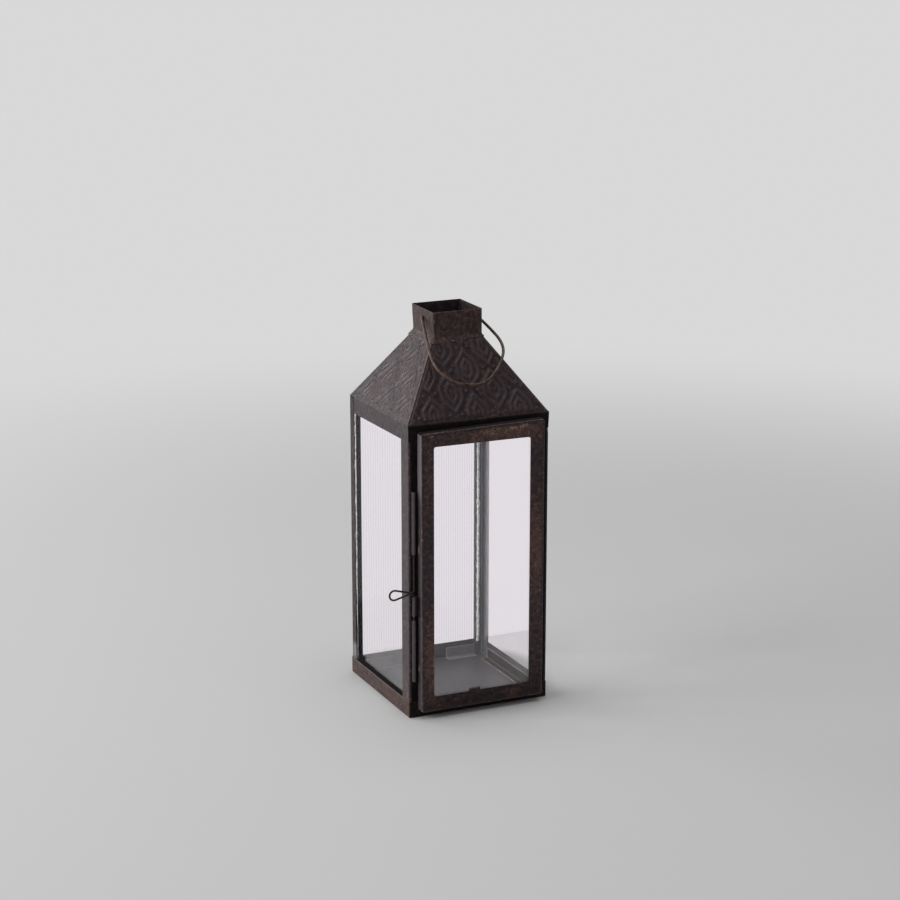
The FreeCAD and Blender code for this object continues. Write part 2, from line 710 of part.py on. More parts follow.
make_base_pan()
for post_name, post_side, post_front in (
    ("corner_post_front_left", -1, 1),
    ("corner_post_front_right", 1, 1),
    ("corner_post_back_left", -1, -1),
    ("corner_post_back_right", 1, -1),
):
    make_corner_post(post_name, post_side, post_front)
for side_name, side_angle in (("front", 0), ("right", 90), ("back", 180), ("left", 270)):
    make_roof_sheet(f"roof_sheet_{side_name}", side_angle)
make_neck()
for side_name, side_angle in (("right", 90), ("left", 270)):
    make_side_pane(f"glass_{side_name}", side_angle)
    make_floor_rail(f"glass_rail_{side_name}", side_angle, "side_rail_length", "0")
    make_head_clips(f"glass_clips_{side_name}", side_angle)
make_back_pane()
make_floor_rail("glass_tab_back_right", 180, "back_tab_length", "-back_tab_middle")
make_floor_rail("glass_tab_back_left", 180, "back_tab_length", "back_tab_middle")
make_head_clips("glass_clips_back", 180)
make_body_tube("latch_tube_lower", "-latch_line", "lower_tube_base", "lower_tube_length")
make_body_tube("latch_tube_upper", "-latch_line", "upper_tube_base", "upper_tube_length")
make_body_tube("hinge_tube_lower", "hinge_line", "lower_tube_base", "lower_tube_length")
make_body_tube("hinge_tube_upper", "hinge_line", "upper_tube_base", "upper_tube_length")
make_hinge_pin()
make_door_frame()
make_door_pane()
make_door_clips()
make_keeper()
make_hinge_knuckle()
make_bolt()
make_bail()

doc.recompute()
for item in doc.Objects:
    if "Invalid" in item.State or "Error" in item.State:
        raise RuntimeError(f"{item.Label} failed: {item.State}")
bodies = [item for item in doc.Objects if item.TypeId == "PartDesign::Body"]
for body in bodies:
    if body.Shape.isNull() or not body.Shape.isValid():
        raise RuntimeError(f"{body.Label} has no valid shape")

os.makedirs("parts", exist_ok=True)
for body in bodies:
    body.Shape.exportStep(f"parts/{body.Label}.step")
    box = body.Shape.BoundBox
    print(
        f"{body.Label}: {len(body.Shape.Solids)} solid, {body.Shape.Volume:.1f} mm3, "
        f"x {box.XMin:.1f} to {box.XMax:.1f}, y {box.YMin:.1f} to {box.YMax:.1f}, "
        f"z {box.ZMin:.1f} to {box.ZMax:.1f}")
print(f"{len(bodies)} nodes written")
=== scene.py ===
import functools
import math

import bpy
import numpy as np
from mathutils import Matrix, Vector


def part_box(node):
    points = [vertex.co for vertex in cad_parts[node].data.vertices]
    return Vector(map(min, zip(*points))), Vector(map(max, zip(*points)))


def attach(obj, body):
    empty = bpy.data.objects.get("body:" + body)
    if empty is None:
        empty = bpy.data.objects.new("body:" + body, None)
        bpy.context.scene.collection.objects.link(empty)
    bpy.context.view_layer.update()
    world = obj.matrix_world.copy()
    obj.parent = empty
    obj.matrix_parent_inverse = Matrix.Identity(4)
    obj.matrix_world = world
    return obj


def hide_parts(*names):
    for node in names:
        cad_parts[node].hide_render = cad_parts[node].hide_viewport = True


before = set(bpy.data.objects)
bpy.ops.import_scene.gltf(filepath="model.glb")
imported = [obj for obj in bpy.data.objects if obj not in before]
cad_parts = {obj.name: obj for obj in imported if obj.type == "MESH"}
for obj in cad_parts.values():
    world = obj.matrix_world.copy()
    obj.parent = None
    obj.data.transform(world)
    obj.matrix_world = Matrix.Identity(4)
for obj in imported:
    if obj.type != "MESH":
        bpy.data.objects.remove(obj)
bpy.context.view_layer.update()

mm = 0.001
quarterTurns = [(1, 0), (0, 1), (-1, 0), (0, -1)]  # cosine and sine of each
print("frame loaded,", len(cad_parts), "nodes")


def toLinear(code):
    # each sRGB channel c becomes c / 12.92 up to 0.04045 and ((c + 0.055) / 1.055) ** 2.4 above
    channels = np.array([int(code[i:i + 2], 16) / 255 for i in (1, 3, 5)])
    linear = np.where(channels <= 0.04045, channels / 12.92, ((channels + 0.055) / 1.055) ** 2.4)
    return (*linear.tolist(), 1.0)


def addNode(tree, kind, values=None, out=0):
    # values are the node's own settings or its sockets, where a hex code is a colour and another
    # node's output is linked; it gives back the output called out
    node = tree.nodes.new(kind)
    for key, value in (values or {}).items():
        if isinstance(key, str) and hasattr(node, key):
            setattr(node, key, value)
        elif isinstance(value, bpy.types.NodeSocket):
            tree.links.new(value, node.inputs[key])
        else:
            node.inputs[key].default_value = toLinear(value) if isinstance(value, str) else value
    return node.outputs[out] if len(node.outputs) else None


def newMaterial(name):
    material = bpy.data.materials.new(name)
    material.use_nodes = True
    material.node_tree.nodes.clear()
    return material, material.node_tree


def objectPlace(tree):
    return addNode(tree, "ShaderNodeTexCoord", out="Object")


def noise(tree, place, size, detail, roughness=0.5):
    # its features are about size millimetres across
    return addNode(tree, "ShaderNodeTexNoise", {
        "Scale": 1 / (size * mm), "Detail": detail, "Roughness": roughness, "Vector": place})


def ramp(tree, value, band, start=0.0, end=1.0, kind="LINEAR"):
    # from start at the band's low value to end at its high one, level beyond it
    return addNode(tree, "ShaderNodeMapRange", {
        "interpolation_type": kind, "From Min": band[0], "From Max": band[1], "To Min": start, "To Max": end,
        "Value": value})


def blend(tree, share, first, second):
    # the first colour where share is 0, the second where it is 1
    return addNode(tree, "ShaderNodeMix", {"data_type": "RGBA", 0: share, 6: first, 7: second}, 2)


def maths(tree, operation, *terms, clamp=False):
    # MULTIPLY_ADD is the first term times the second, plus the third
    return addNode(tree, "ShaderNodeMath", {"operation": operation, "use_clamp": clamp, **dict(enumerate(terms))})


def field(tree, name):
    # a value laid on the mesh's points
    return addNode(tree, "ShaderNodeAttribute", {"attribute_name": name}, "Fac")


def bump(tree, height, strength, depth, **normal):
    # depth is in millimetres
    return addNode(tree, "ShaderNodeBump", {"Strength": strength, "Distance": depth * mm, "Height": height, **normal})


# Tin plate, rolled thin and folded, blackened and waxed, then handled. To the eye it is a nearly
# black brown with a soft satin sheen, bluer in patches, rubbed to a dusty tan along its folds.
tinLook = dict(
    # crest, on this line, is partly a painted highlight on the pressed ridges and partly rubbing
    deep="#140c10", brown="#322125", blue="#251d25", rust="#543932", crest="#45373b", rubbed="#947b69",
    # the near black on this line is painted shade
    pale="#c9c0b3", inside="#39353b", soot="#0b0809", dusty="#7b767b",
    patchSize=38.0, mottleSize=4.0, freckleSize=3.6, speckSize=1.5,
    grainSize=0.8,  # drawn coarser than the real 0.1 mm, to show
    # the noise values between which each mark fades in, and its share where it is full
    patchBand=(0.38, 0.64), mottleBand=(0.44, 0.6), freckleBand=(0.5, 0.68), rubBand=(0.5, 1.05),
    speckBand=(0.64, 0.76), mottleMost=0.9, rubMost=0.85, speckMost=0.7,
    freckleLift=0.16,  # more rust where the mesh says so
    dentDepth=0.25, pitDepth=0.06,  # mm
    # painted shade also takes away sheen: less specular and rougher
    metallic=0.1, specular=0.36, paintedShadeSpecular=0.3, roughLow=0.34, roughHigh=0.55, paintedShadeRough=0.85,
)


def blackenedTin(name, look):
    material, tree = newMaterial(name)
    place = objectPlace(tree)
    mottle = noise(tree, place, look["mottleSize"], 7.0, 0.62)
    grain = noise(tree, place, look["grainSize"], 2.0)
    patch = noise(tree, place, look["patchSize"], 3.0)
    colour = blend(tree, ramp(tree, patch, look["patchBand"]), look["brown"], look["blue"])
    colour = blend(tree, ramp(tree, mottle, look["mottleBand"], 0.0, look["mottleMost"]), colour, look["deep"])
    # rust freckles where the wax is thin: a middling noise cut off high, more of them where it is worn
    freckle = noise(tree, place, look["freckleSize"], 6.0, 0.75)
    freckle = maths(tree, "MULTIPLY_ADD", field(tree, "rust"), look["freckleLift"], freckle)
    freckle = ramp(tree, freckle, look["freckleBand"])
    colour = blend(tree, freckle, colour, look["rust"])
    # pressed lines are lighter, partly a painted highlight where they catch the light from above and partly rubbing,
    # and the inner side of a sheet was never waxed
    colour = blend(tree, field(tree, "crest"), colour, look["crest"])
    colour = blend(tree, field(tree, "inside"), colour, look["inside"])
    # rubbing: the folds' share, broken up by the mottling and the grain
    broken = maths(tree, "MULTIPLY_ADD", mottle, 2.3, -1.15)
    fine = maths(tree, "MULTIPLY_ADD", grain, 1.5, -0.75)
    both = maths(tree, "ADD", broken, fine)
    rub = maths(tree, "ADD", both, field(tree, "wear"))
    rub = ramp(tree, rub, look["rubBand"], 0.0, look["rubMost"], "SMOOTHSTEP")
    colour = blend(tree, rub, colour, look["rubbed"])
    # single bright specks where grit went through the wax, only inside the rust patches
    speck = ramp(tree, noise(tree, place, look["speckSize"], 1.0), look["speckBand"], 0.0, look["speckMost"])
    colour = blend(tree, maths(tree, "MULTIPLY", speck, freckle), colour, look["rubbed"])
    # chips down to bare plate, with ragged edges
    chip = field(tree, "chip")
    ragged = maths(tree, "MULTIPLY_ADD", chip, 1.6, -0.3)
    ragged = maths(tree, "MULTIPLY_ADD", both, 0.9, ragged, clamp=True)
    colour = blend(tree, maths(tree, "MULTIPLY", ragged, chip), colour, look["pale"])
    # dust lies on some unrubbed faces, and painted shade darkens the faces beside and over the door and others that
    # lie in shade, and dulls their sheen
    soot = field(tree, "soot")
    colour = blend(tree, field(tree, "dusty"), colour, look["dusty"])
    colour = blend(tree, soot, colour, look["soot"])
    gloss = ramp(tree, soot, (0.0, 1.0), look["specular"], look["paintedShadeSpecular"] * look["specular"])
    rough = ramp(tree, mottle, (0.3, 0.7), look["roughLow"], look["roughHigh"])
    rough = addNode(tree, "ShaderNodeMix", {"data_type": "FLOAT", 0: soot, 2: rough, 3: look["paintedShadeRough"]})
    dents = bump(tree, mottle, 0.5, look["dentDepth"])
    shader = addNode(tree, "ShaderNodeBsdfPrincipled", {
        "Metallic": look["metallic"], "Base Color": colour, "Roughness": rough, "Specular IOR Level": gloss,
        "Normal": bump(tree, grain, 0.35, look["pitDepth"], Normal=dents)})
    addNode(tree, "ShaderNodeOutputMaterial", {"Surface": shader})
    return material


def plainWire(name, dark, light, roughness, metallic, mottleSize, gloss=0.5):
    # Drawn wire, mottled slowly from dark to light. To the eye it is a smooth round line with one
    # long soft highlight. The putty has the same make-up, paler and wetter.
    material, tree = newMaterial(name)
    mottle = noise(tree, objectPlace(tree), mottleSize, 5.0)
    shader = addNode(tree, "ShaderNodeBsdfPrincipled", {
        "Metallic": metallic, "Roughness": roughness, "Specular IOR Level": gloss,
        "Base Color": blend(tree, ramp(tree, mottle, (0.36, 0.66)), dark, light),
        "Normal": bump(tree, mottle, 0.3, 0.08)})
    addNode(tree, "ShaderNodeOutputMaterial", {"Surface": shader})
    return material


def sodaLimeGlass(name, tint, grooveTint, roughness=0.0, calm=0.0, calmFrom=None):
    # Soda-lime window glass, drawn flat. To the eye it is only its reflections and its green edge.
    # Dust stays in the grooves of the fluted pane and draws its upright lines.
    # Lamps shine through it, because the panes shut in the floor and the posts.
    # calm is the share of rays that only bend and pass, with no reflection, and calmFrom the y in mm where
    # that starts: the strip by the back post's painted shade has no sheen over it, so the post stays dark there.
    material, tree = newMaterial(name)
    colour = blend(tree, field(tree, "groove"), tint, grooveTint)
    pane = addNode(tree, "ShaderNodeBsdfPrincipled", {
        "Roughness": roughness, "IOR": 1.5, "Transmission Weight": 1.0, "Base Color": colour})
    bent = addNode(tree, "ShaderNodeBsdfRefraction", {"Roughness": roughness, "IOR": 1.5, "Color": colour})
    if calmFrom is not None:
        back = addNode(tree, "ShaderNodeSeparateXYZ", {"Vector": objectPlace(tree)}, "Y")
        calm = ramp(tree, back, (calmFrom * mm, (calmFrom + 1.5) * mm), 0.0, calm)
    seen = addNode(tree, "ShaderNodeMixShader", {0: calm, 1: pane, 2: bent})
    clear = addNode(tree, "ShaderNodeBsdfTransparent", {"Color": (0.93, 0.94, 0.93, 1.0)})
    lampRay = addNode(tree, "ShaderNodeLightPath", out="Is Shadow Ray")
    mixed = addNode(tree, "ShaderNodeMixShader", {0: lampRay, 1: seen, 2: clear})
    addNode(tree, "ShaderNodeOutputMaterial", {"Surface": mixed})
    return material


tinMaterial = blackenedTin("blackened waxed tin plate", tinLook)
bailMaterial = plainWire("brown drawn iron wire", "#0e0908", "#56392a", 0.4, 0.0, 5.0, 0.4)
latchMaterial = plainWire("dull drawn steel wire", "#1d1a1a", "#3d3532", 0.34, 0.5, 4.0)
paneMaterial = sodaLimeGlass("soda-lime window glass, clear", "#ffffff", "#ffffff")
leftPaneMaterial = sodaLimeGlass(
    "soda-lime window glass, calm at the back", "#ffffff", "#ffffff", calm=0.95, calmFrom=37.5)
fluteMaterial = sodaLimeGlass("soda-lime fluted glass, rolled", "#ffffff", "#ebe8ee", calm=0.35)
edgeMaterial = sodaLimeGlass("soda-lime glass edge, raw cut", "#e6efec", "#e6efec", 0.28)
beadMaterial = plainWire("clear putty bead, run by hand", "#b3b7b5", "#fbfbfb", 0.2, 0.0, 2.4)
print("materials made")


def unit(vectors):
    # each vector over its own length
    return vectors / np.linalg.norm(vectors, axis=-1, keepdims=True)


def lengthAlong(line):
    # the distance from the line's start to each of its points
    return np.concatenate([[0], np.cumsum(np.linalg.norm(np.diff(line, axis=0), axis=1))])


def bentLine(corners, radii, spacing, arcSteps=6):
    # straight runs joined by arcs that touch both runs; returns the points, the distance along
    # them, and the distances at which the bends have their middle
    corners = np.array(corners, float)
    pieces, bendAt, here, count = [corners[:1]], [], corners[0], 1
    for k, radius in enumerate(radii, start=1):
        back = unit(corners[k - 1] - corners[k])
        ahead = unit(corners[k + 1] - corners[k])
        half = 0.5 * np.arccos(np.clip(-back @ ahead, -1, 1))
        reach = radius * math.tan(half)
        start, end = corners[k] + back * reach, corners[k] + ahead * reach
        centre = corners[k] + unit(back + ahead) * radius / math.cos(half)
        runSteps = max(1, int(np.linalg.norm(start - here) / spacing))
        pieces.append(here + (start - here) * np.linspace(0, 1, runSteps + 1)[1:, None])
        turn = np.linspace(0, 2 * half, arcSteps + 1)[1:, None]
        pieces.append(
            centre + ((start - centre) * np.sin(2 * half - turn) + (end - centre) * np.sin(turn)) / np.sin(2 * half))
        bendAt.append(count + runSteps + arcSteps // 2 - 1)
        count += runSteps + arcSteps
        here = end
    runSteps = max(1, int(np.linalg.norm(corners[-1] - here) / spacing))
    pieces.append(here + (corners[-1] - here) * np.linspace(0, 1, runSteps + 1)[1:, None])
    line = np.concatenate(pieces)
    length = lengthAlong(line)
    return line, length, length[bendAt]


def offsetLine(line, distance):
    # each point moved to the right of the line's way by that distance, mitred where it turns
    ways = unit(np.diff(line, axis=0))
    before, after = np.vstack([ways[:1], ways]), np.vstack([ways, ways[-1:]])
    tangent = unit(before + after)
    normal = np.stack([tangent[:, 1], -tangent[:, 0]], axis=1)
    stretch = 1 / np.maximum(0.5, (before * tangent).sum(axis=1))
    return line + normal * (distance * stretch)[:, None]


def innerLine(line, tin, axis=0):
    # the same line one sheet's thickness nearer the middle of the lantern
    moved = offsetLine(line, tin)
    return moved if moved[0, axis] < line[0, axis] else offsetLine(line, -tin)


def near(values, marks, width):
    # 1 at any mark, falling off as exp(-distance / width)
    marks = np.atleast_1d(np.array(marks, float))
    return np.exp(-np.abs(values[..., None] - marks).min(axis=-1) / width)


def most(*arrays):
    # the greatest of several arrays that fit one another
    return functools.reduce(np.maximum, arrays)


def spotOn(x, z, place):
    # 1 at the place and exp(-1) a half width away: the place is x, z, half width, half height
    px, pz, wx, wz = place
    return np.exp(-((x - px) / wx) ** 2 - ((z - pz) / wz) ** 2)


def gridOf(x, y, z):
    # arrays that fit one another, stacked as points
    return np.stack(np.broadcast_arrays(x, y, z), axis=-1)


def squareGrid(line, radius, walls, arcSteps=5):
    # rounded squares seen from above, one per point of the line, which gives half their width and
    # their height; each wall has its points at the given shares, and a quarter turn carries it round
    half, radius = line[:, :1], np.broadcast_to(radius, len(line))[:, None]
    turn = np.linspace(-np.pi / 2, 0, arcSteps + 2)[1:-1]
    along = np.concatenate([walls * (half - radius), half - radius + radius * np.cos(turn)], axis=1)
    out = np.concatenate([-half + 0 * walls, -(half - radius) + radius * np.sin(turn)], axis=1)
    x = np.concatenate([along * c - out * s for c, s in quarterTurns], axis=1)
    y = np.concatenate([along * s + out * c for c, s in quarterTurns], axis=1)
    return gridOf(x, y, line[:, 1:])


def touched(cell, wrap=False):
    # the grid points at the corners of the marked quads
    rows, cols = cell.shape
    marks = np.zeros((rows + 1, cols if wrap else cols + 1), bool)
    for down in (0, 1):
        for across in (0, 1):
            if wrap:
                marks[down:down + rows] |= np.roll(cell, across, axis=1)
            else:
                marks[down:down + rows, across:across + cols] |= cell
    return marks


def sheetPart(outer, inner, keep=None, wrap=False, cap=False, fields=None):
    # a closed shell: the outer grid, the inner grid turned round, and walls along every free edge;
    # a field is a pair for the two grids, or one value for the outer, with 0 on the inner
    rows, cols = outer.shape[:2]
    index = np.arange(rows * cols).reshape(rows, cols)
    left, right = (index, np.roll(index, -1, axis=1)) if wrap else (index[:, :-1], index[:, 1:])
    quads = np.stack([left[:-1], right[:-1], right[1:], left[1:]], axis=-1)
    quads = quads.reshape(-1, 4) if keep is None else quads[keep]
    shift = rows * cols
    edges = np.concatenate([quads[:, [0, 1]], quads[:, [1, 2]], quads[:, [2, 3]], quads[:, [3, 0]]])
    free = edges[~np.isin(edges[:, 0] * shift + edges[:, 1], edges[:, 1] * shift + edges[:, 0])]
    if cap:
        free = free[~(free >= shift - cols).all(axis=1)]
    walls = np.stack([free[:, 1], free[:, 0], free[:, 0] + shift, free[:, 1] + shift], axis=1)
    faces = [quads, quads[:, ::-1] + shift, walls]
    if cap:
        faces += [index[-1:], index[-1:, ::-1] + shift]
    values = {}
    for key, pair in (fields or {}).items():
        pair = pair if isinstance(pair, tuple) else (pair, 0.0)
        values[key] = np.concatenate([np.broadcast_to(side, (rows, cols)).ravel() for side in pair])
    return dict(points=np.concatenate([outer.reshape(-1, 3), inner.reshape(-1, 3)]), faces=faces, fields=values)


def loftPart(loops, fields=None):
    # closed loops joined one to the next, with a flat cap on each end
    rows, cols = loops.shape[:2]
    index = np.arange(rows * cols).reshape(rows, cols)
    right = np.roll(index, -1, axis=1)
    quads = np.stack([index[:-1], right[:-1], right[1:], index[1:]], axis=-1).reshape(-1, 4)
    values = {key: np.broadcast_to(value, (rows, cols)).ravel() for key, value in (fields or {}).items()}
    return dict(points=loops.reshape(-1, 3), faces=[quads, index[:1, ::-1], index[-1:]], fields=values)


def signedVolume(points, faces):
    # sum of the tetrahedra from the origin to each face's fan of triangles; positive if it faces out
    total = 0.0
    for group in faces:
        a = points[group[:, 0]]
        for k in range(1, group.shape[1] - 1):
            total += np.einsum("ij,ij->", a, np.cross(points[group[:, k]], points[group[:, k + 1]])) / 6
    return total


def makePiece(name, parts, materials, smoothAngle=38.0, faceMaterial=None):
    # joins the parts into one mesh in metres, faces outward, only the used points kept
    points, faces, fields, shift = [], [], {}, 0
    names = sorted({key for part in parts for key in part["fields"]})
    for part in parts:
        groups = part["faces"]
        if signedVolume(part["points"], groups) < 0:
            groups = [group[:, ::-1] for group in groups]
        used, inverse = np.unique(np.concatenate([group.ravel() for group in groups]), return_inverse=True)
        at = 0
        for group in groups:
            faces += (inverse[at:at + group.size].reshape(group.shape) + shift).tolist()
            at += group.size
        points.append(part["points"][used])
        for key in names:
            values = part["fields"].get(key)
            fields.setdefault(key, []).append(np.zeros(len(used)) if values is None else values[used])
        shift += len(used)
    mesh = bpy.data.meshes.new(name)
    mesh.from_pydata((np.concatenate(points) * mm).tolist(), [], faces)
    mesh.shade_smooth()
    mesh.set_sharp_from_angle(angle=math.radians(smoothAngle))
    for key in names:
        layer = mesh.attributes.new(key, "FLOAT", "POINT")
        layer.data.foreach_set("value", np.concatenate(fields[key]).astype(np.float32))
    for material in materials:
        mesh.materials.append(material)
    if faceMaterial is not None:
        mesh.polygons.foreach_set("material_index", faceMaterial(mesh).astype(np.int32))
    mesh.update()
    piece = bpy.data.objects.new(name, mesh)
    bpy.context.scene.collection.objects.link(piece)
    return piece


def dress(piece, node, body):
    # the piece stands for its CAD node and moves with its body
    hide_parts(node)
    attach(piece, body)


def tinPiece(name, parts, node, body="frame", smoothAngle=38.0):
    dress(makePiece(name, parts, [tinMaterial], smoothAngle), node, body)


def nodeBox(node):
    # the CAD node's lowest and highest corner in millimetres
    low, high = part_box(node)
    return np.array(list(low)) / mm, np.array(list(high)) / mm


def turned(points, quarter):
    # quarter turns about the upright line, from the front towards the right
    c, s = quarterTurns[quarter % 4]
    x, y, z = points[..., 0], points[..., 1], points[..., 2]
    return np.stack([x * c - y * s, x * s + y * c, z], axis=-1)


def wallBox(node, quarter):
    # the node's box as its own wall has it: start and end along the wall, how far out it starts
    # and ends, and its lowest and highest z
    low, high = nodeBox(node)
    flat = np.sort(turned(np.array([low, high]), -quarter), axis=0)
    return flat[0, 0], flat[1, 0], -flat[1, 1], -flat[0, 1], low[2], high[2]


def smoothStep(low, high, values):
    # 0 up to low, 1 from high on, and 3 s ** 2 - 2 s ** 3 between, s being the share of the way
    share = np.clip((values - low) / (high - low), 0, 1)
    return share * share * (3 - 2 * share)


def drift(a, b, size, seed):
    # slow unevenness from -1 to 1: four sine waves of random direction and phase
    rng = np.random.default_rng(seed)
    total = 0
    for _ in range(4):
        angle, phase = rng.uniform(0, 2 * np.pi, 2)
        wave = 2 * np.pi / (size * rng.uniform(0.7, 1.6))
        total = total + np.sin(wave * (a * math.cos(angle) + b * math.sin(angle)) + phase)
    return total / 4


roofSizes = dict(
    eave=235.4, tin=0.5, eaveBend=1.0, spacing=0.6, columns=200,
    relief=0.8,  # height of the pressed lines
    lineWidth=1.55,  # half width of a pressed line
    pitchAlong=36.5, pitchUp=37.0, firstRow=4.6,
    medalHalfWidth=8.4, medalHalfHeight=15.4, medalSlant=1.2, medalInset=4.6,
    beadAcross=5.1, beadSize=1.15,
    hipMargin=(2.5, 7.0), eaveMargin=(1.2, 3.4), neckMargin=(2.0, 4.5),
    hipDip=0.95, hipWidth=1.7,
    shift=dict(front=0.2, right=-7.0, back=11.0, left=6.2),
    # rubbed patches: along, up the slope, their half widths, strength
    rubs=dict(left=[(6.0, 36.0, 9.0, 9.0, 0.5)], front=[(24.0, 6.0, 14.0, 2.5, 0.42), (22.0, 26.0, 5.0, 5.0, 0.3)]),
    strength=dict(front=1.0, right=0.9, back=0.8, left=0.62),  # how deeply each sheet was pressed
    # slow unevenness in how far the pattern strays across and up, how deep it is, and how the slope
    # sags: strength, size in mm, and the front sheet's seed
    uneven=dict(across=(0.9, 26, 41), up=(0.9, 24, 51), depth=(0.22, 30, 3), sag=(0.12, 42, 11)),
    apronTaper=0.3, taperSpan=(-12.0, -1.0),  # the front and right aprons lean in a little towards their lower edge
    tuck=1.4, tuckFrom=50.7,  # the left apron stops short of the back corner
    nipSpan=(54.0, 60.0),  # and the back one is nipped in by as much
)


def medalHeight(x, up, sizes):
    # pressed lattice: d is the signed distance to a six-sided medallion with upright sides; lines
    # stand at d = 0 and d = -inset, with a long boss in the middle, in half-drop rows, and two
    # beads stand in each gap between four medallions
    height = np.zeros_like(x)
    pitch, rise, w = sizes["pitchAlong"], sizes["pitchUp"], sizes["lineWidth"]
    for k in range(2):
        dx = (x - k * pitch / 2 + pitch / 2) % pitch - pitch / 2
        dz = up - sizes["firstRow"] - k * rise / 2
        dz = (dz + rise / 2) % rise - rise / 2
        side = np.abs(dx) - sizes["medalHalfWidth"]
        slanted = np.abs(dx) * sizes["medalSlant"] + np.abs(dz) - sizes["medalHalfHeight"]
        slanted = slanted / math.hypot(1, sizes["medalSlant"])
        d = np.log(np.exp(side * 1.6) + np.exp(slanted * 1.6)) / 1.6  # smooth maximum
        lines = np.exp(-(d / w) ** 2) + 0.95 * np.exp(-((d + sizes["medalInset"]) / w) ** 2)
        boss = 0.8 * np.exp(-(dx / 1.2) ** 2 - (dz / 3.4) ** 2)
        gapZ = (dz + rise) % rise - rise / 2
        beads = np.exp(-((np.abs(dx) - sizes["beadAcross"]) ** 2 + gapZ ** 2) / sizes["beadSize"] ** 2)
        height = most(height, lines, boss, 1.15 * beads)
    return height


def roofSheet(side, quarter, sizes):
    # one sheet folded at the eave: the apron hangs below it and the slope rises above it, and both
    # narrow as they near the middle, so that neighbours meet along the hips
    low, high = nodeBox("roof_sheet_front")
    half, top, neckHalf, base = -low[1], high[2], -high[1], low[2]
    line, length, bends = bentLine(
        [(half, base), (half, sizes["eave"]), (neckHalf, top)], [sizes["eaveBend"]], sizes["spacing"], 5)
    out, z = line[:, 0], line[:, 1]
    inward = offsetLine(line, -1.0) - line  # unit steps into the roof
    up = (length - bends[0])[:, None]
    w = np.linspace(-1, 1, sizes["columns"] + 1)
    u = 0.7 * w + 0.3 * np.sin(w * np.pi / 2)  # closer columns by the hips
    x = u[None, :] * out[:, None]
    toHip = (1 - np.abs(u))[None, :] * out[:, None]
    toNeck = length[-1] - bends[0] - up
    onSlope = smoothStep(0.2, 1.2, up)
    stray = {key: strength * drift(x, up, size, seed + quarter)
             for key, (strength, size, seed) in sizes["uneven"].items()}
    pressed = medalHeight(x - sizes["shift"][side] + stray["across"], up + stray["up"], sizes)
    fade = smoothStep(*sizes["hipMargin"], toHip) * smoothStep(*sizes["eaveMargin"], up)
    crest = pressed * (fade * smoothStep(*sizes["neckMargin"], toNeck)) * (1 + stray["depth"])
    dip = sizes["hipDip"] * np.clip(1 - toHip / sizes["hipWidth"], 0, 1) ** 2 * onSlope
    sag = stray["sag"] * smoothStep(2, 9, toHip) * onSlope
    rise = sizes["relief"] * sizes["strength"][side] * crest - dip + sag

    corner = 1 - smoothStep(-0.7, 0.5, up)  # 1 on the apron
    inset, nip, soot, dusty = 0 * x, 0 * x, 0 * x, 0 * x
    if side == "left":
        inset = sizes["tuck"] * corner * (x < -sizes["tuckFrom"])
        # a line of painted shade at the step where the left apron is tucked in
        soot = np.exp(-((x + sizes["tuckFrom"] - 0.4) / 1.25) ** 2) * (up < 0.2)
        dusty = 0.09 * (1 - smoothStep(-1.0, 0.6, up)) + 0 * x
    if side in ("front", "right"):
        inset = sizes["apronTaper"] * (1 - smoothStep(*sizes["taperSpan"], up)) + 0 * x
    if side == "back":
        nip = sizes["tuck"] * corner * smoothStep(*sizes["nipSpan"], x)
    if side == "front":
        # painted shade on the front sheet: deep on its apron under the eave, light on its slope, which faces away
        # from the lamps
        soot = np.maximum(0.8 * (1 - smoothStep(-1.5, 0.5, up)), 0.22) + 0 * x

    def surface(depth):
        o = out[:, None] + inward[:, :1] * (depth - rise) - inset
        h = z[:, None] + inward[:, 1:] * (depth - rise)
        return turned(gridOf(u[None, :] * o * (1 - 0.0004) - nip, -o, h), quarter)  # a hair between neighbours

    seam = np.exp(-((toHip - sizes["hipWidth"]) / 0.8) ** 2) * onSlope
    wear = most(0.42 * seam, 0.42 * near(length, bends, 0.7)[:, None], 0.45 * near(length, [0], 0.6)[:, None],
                0.2 * crest ** 2)
    for *place, strength in sizes["rubs"].get(side, []):
        wear = np.maximum(wear, strength * spotOn(x, up, place))
    # painted highlight along the pressed ridges and the hip seam, partly rubbing too
    crestHighlight = np.maximum(0.8 * sizes["strength"][side] * np.clip(crest, 0, 1) ** 1.5, 0.8 * seam)
    part = sheetPart(surface(0.0), surface(sizes["tin"]), fields={
        "wear": wear, "inside": (0.0, 0.3), "soot": soot, "dusty": dusty, "rust": 0.06 * (side == "front"),
        "crest": crestHighlight})
    tinPiece("roof" + side.capitalize(), [part], "roof_sheet_" + side, smoothAngle=50.0)


for quarter, side in enumerate(("front", "right", "back", "left")):
    roofSheet(side, quarter, roofSizes)
print("roof pressed and folded")


neckSizes = dict(
    tin=0.5, half=20.6, corner=0.9, footBend=0.9, rowSpacing=1.2,
    roofTop=293.0, roofSlope=1.462,  # where the slopes reach the neck, and how steeply
    holeRadius=1.4, holeLevel=306.6,
    holeSteps=(0.25, 0.7, 1.1, 1.4, 1.7, 2.2, 3.0),  # the mesh's lines about a hole's middle
    footLeft=1.3, footRight=0.55,  # how long the splayed foot is, as a share of the CAD foot
    # the rim's dip and the left face's lean grow from a level up, and the dip grows along x and y as given
    rimDip=1.6, leanOut=0.9, bentFrom=294.0, dipWay=(0.415, 0.91),
)


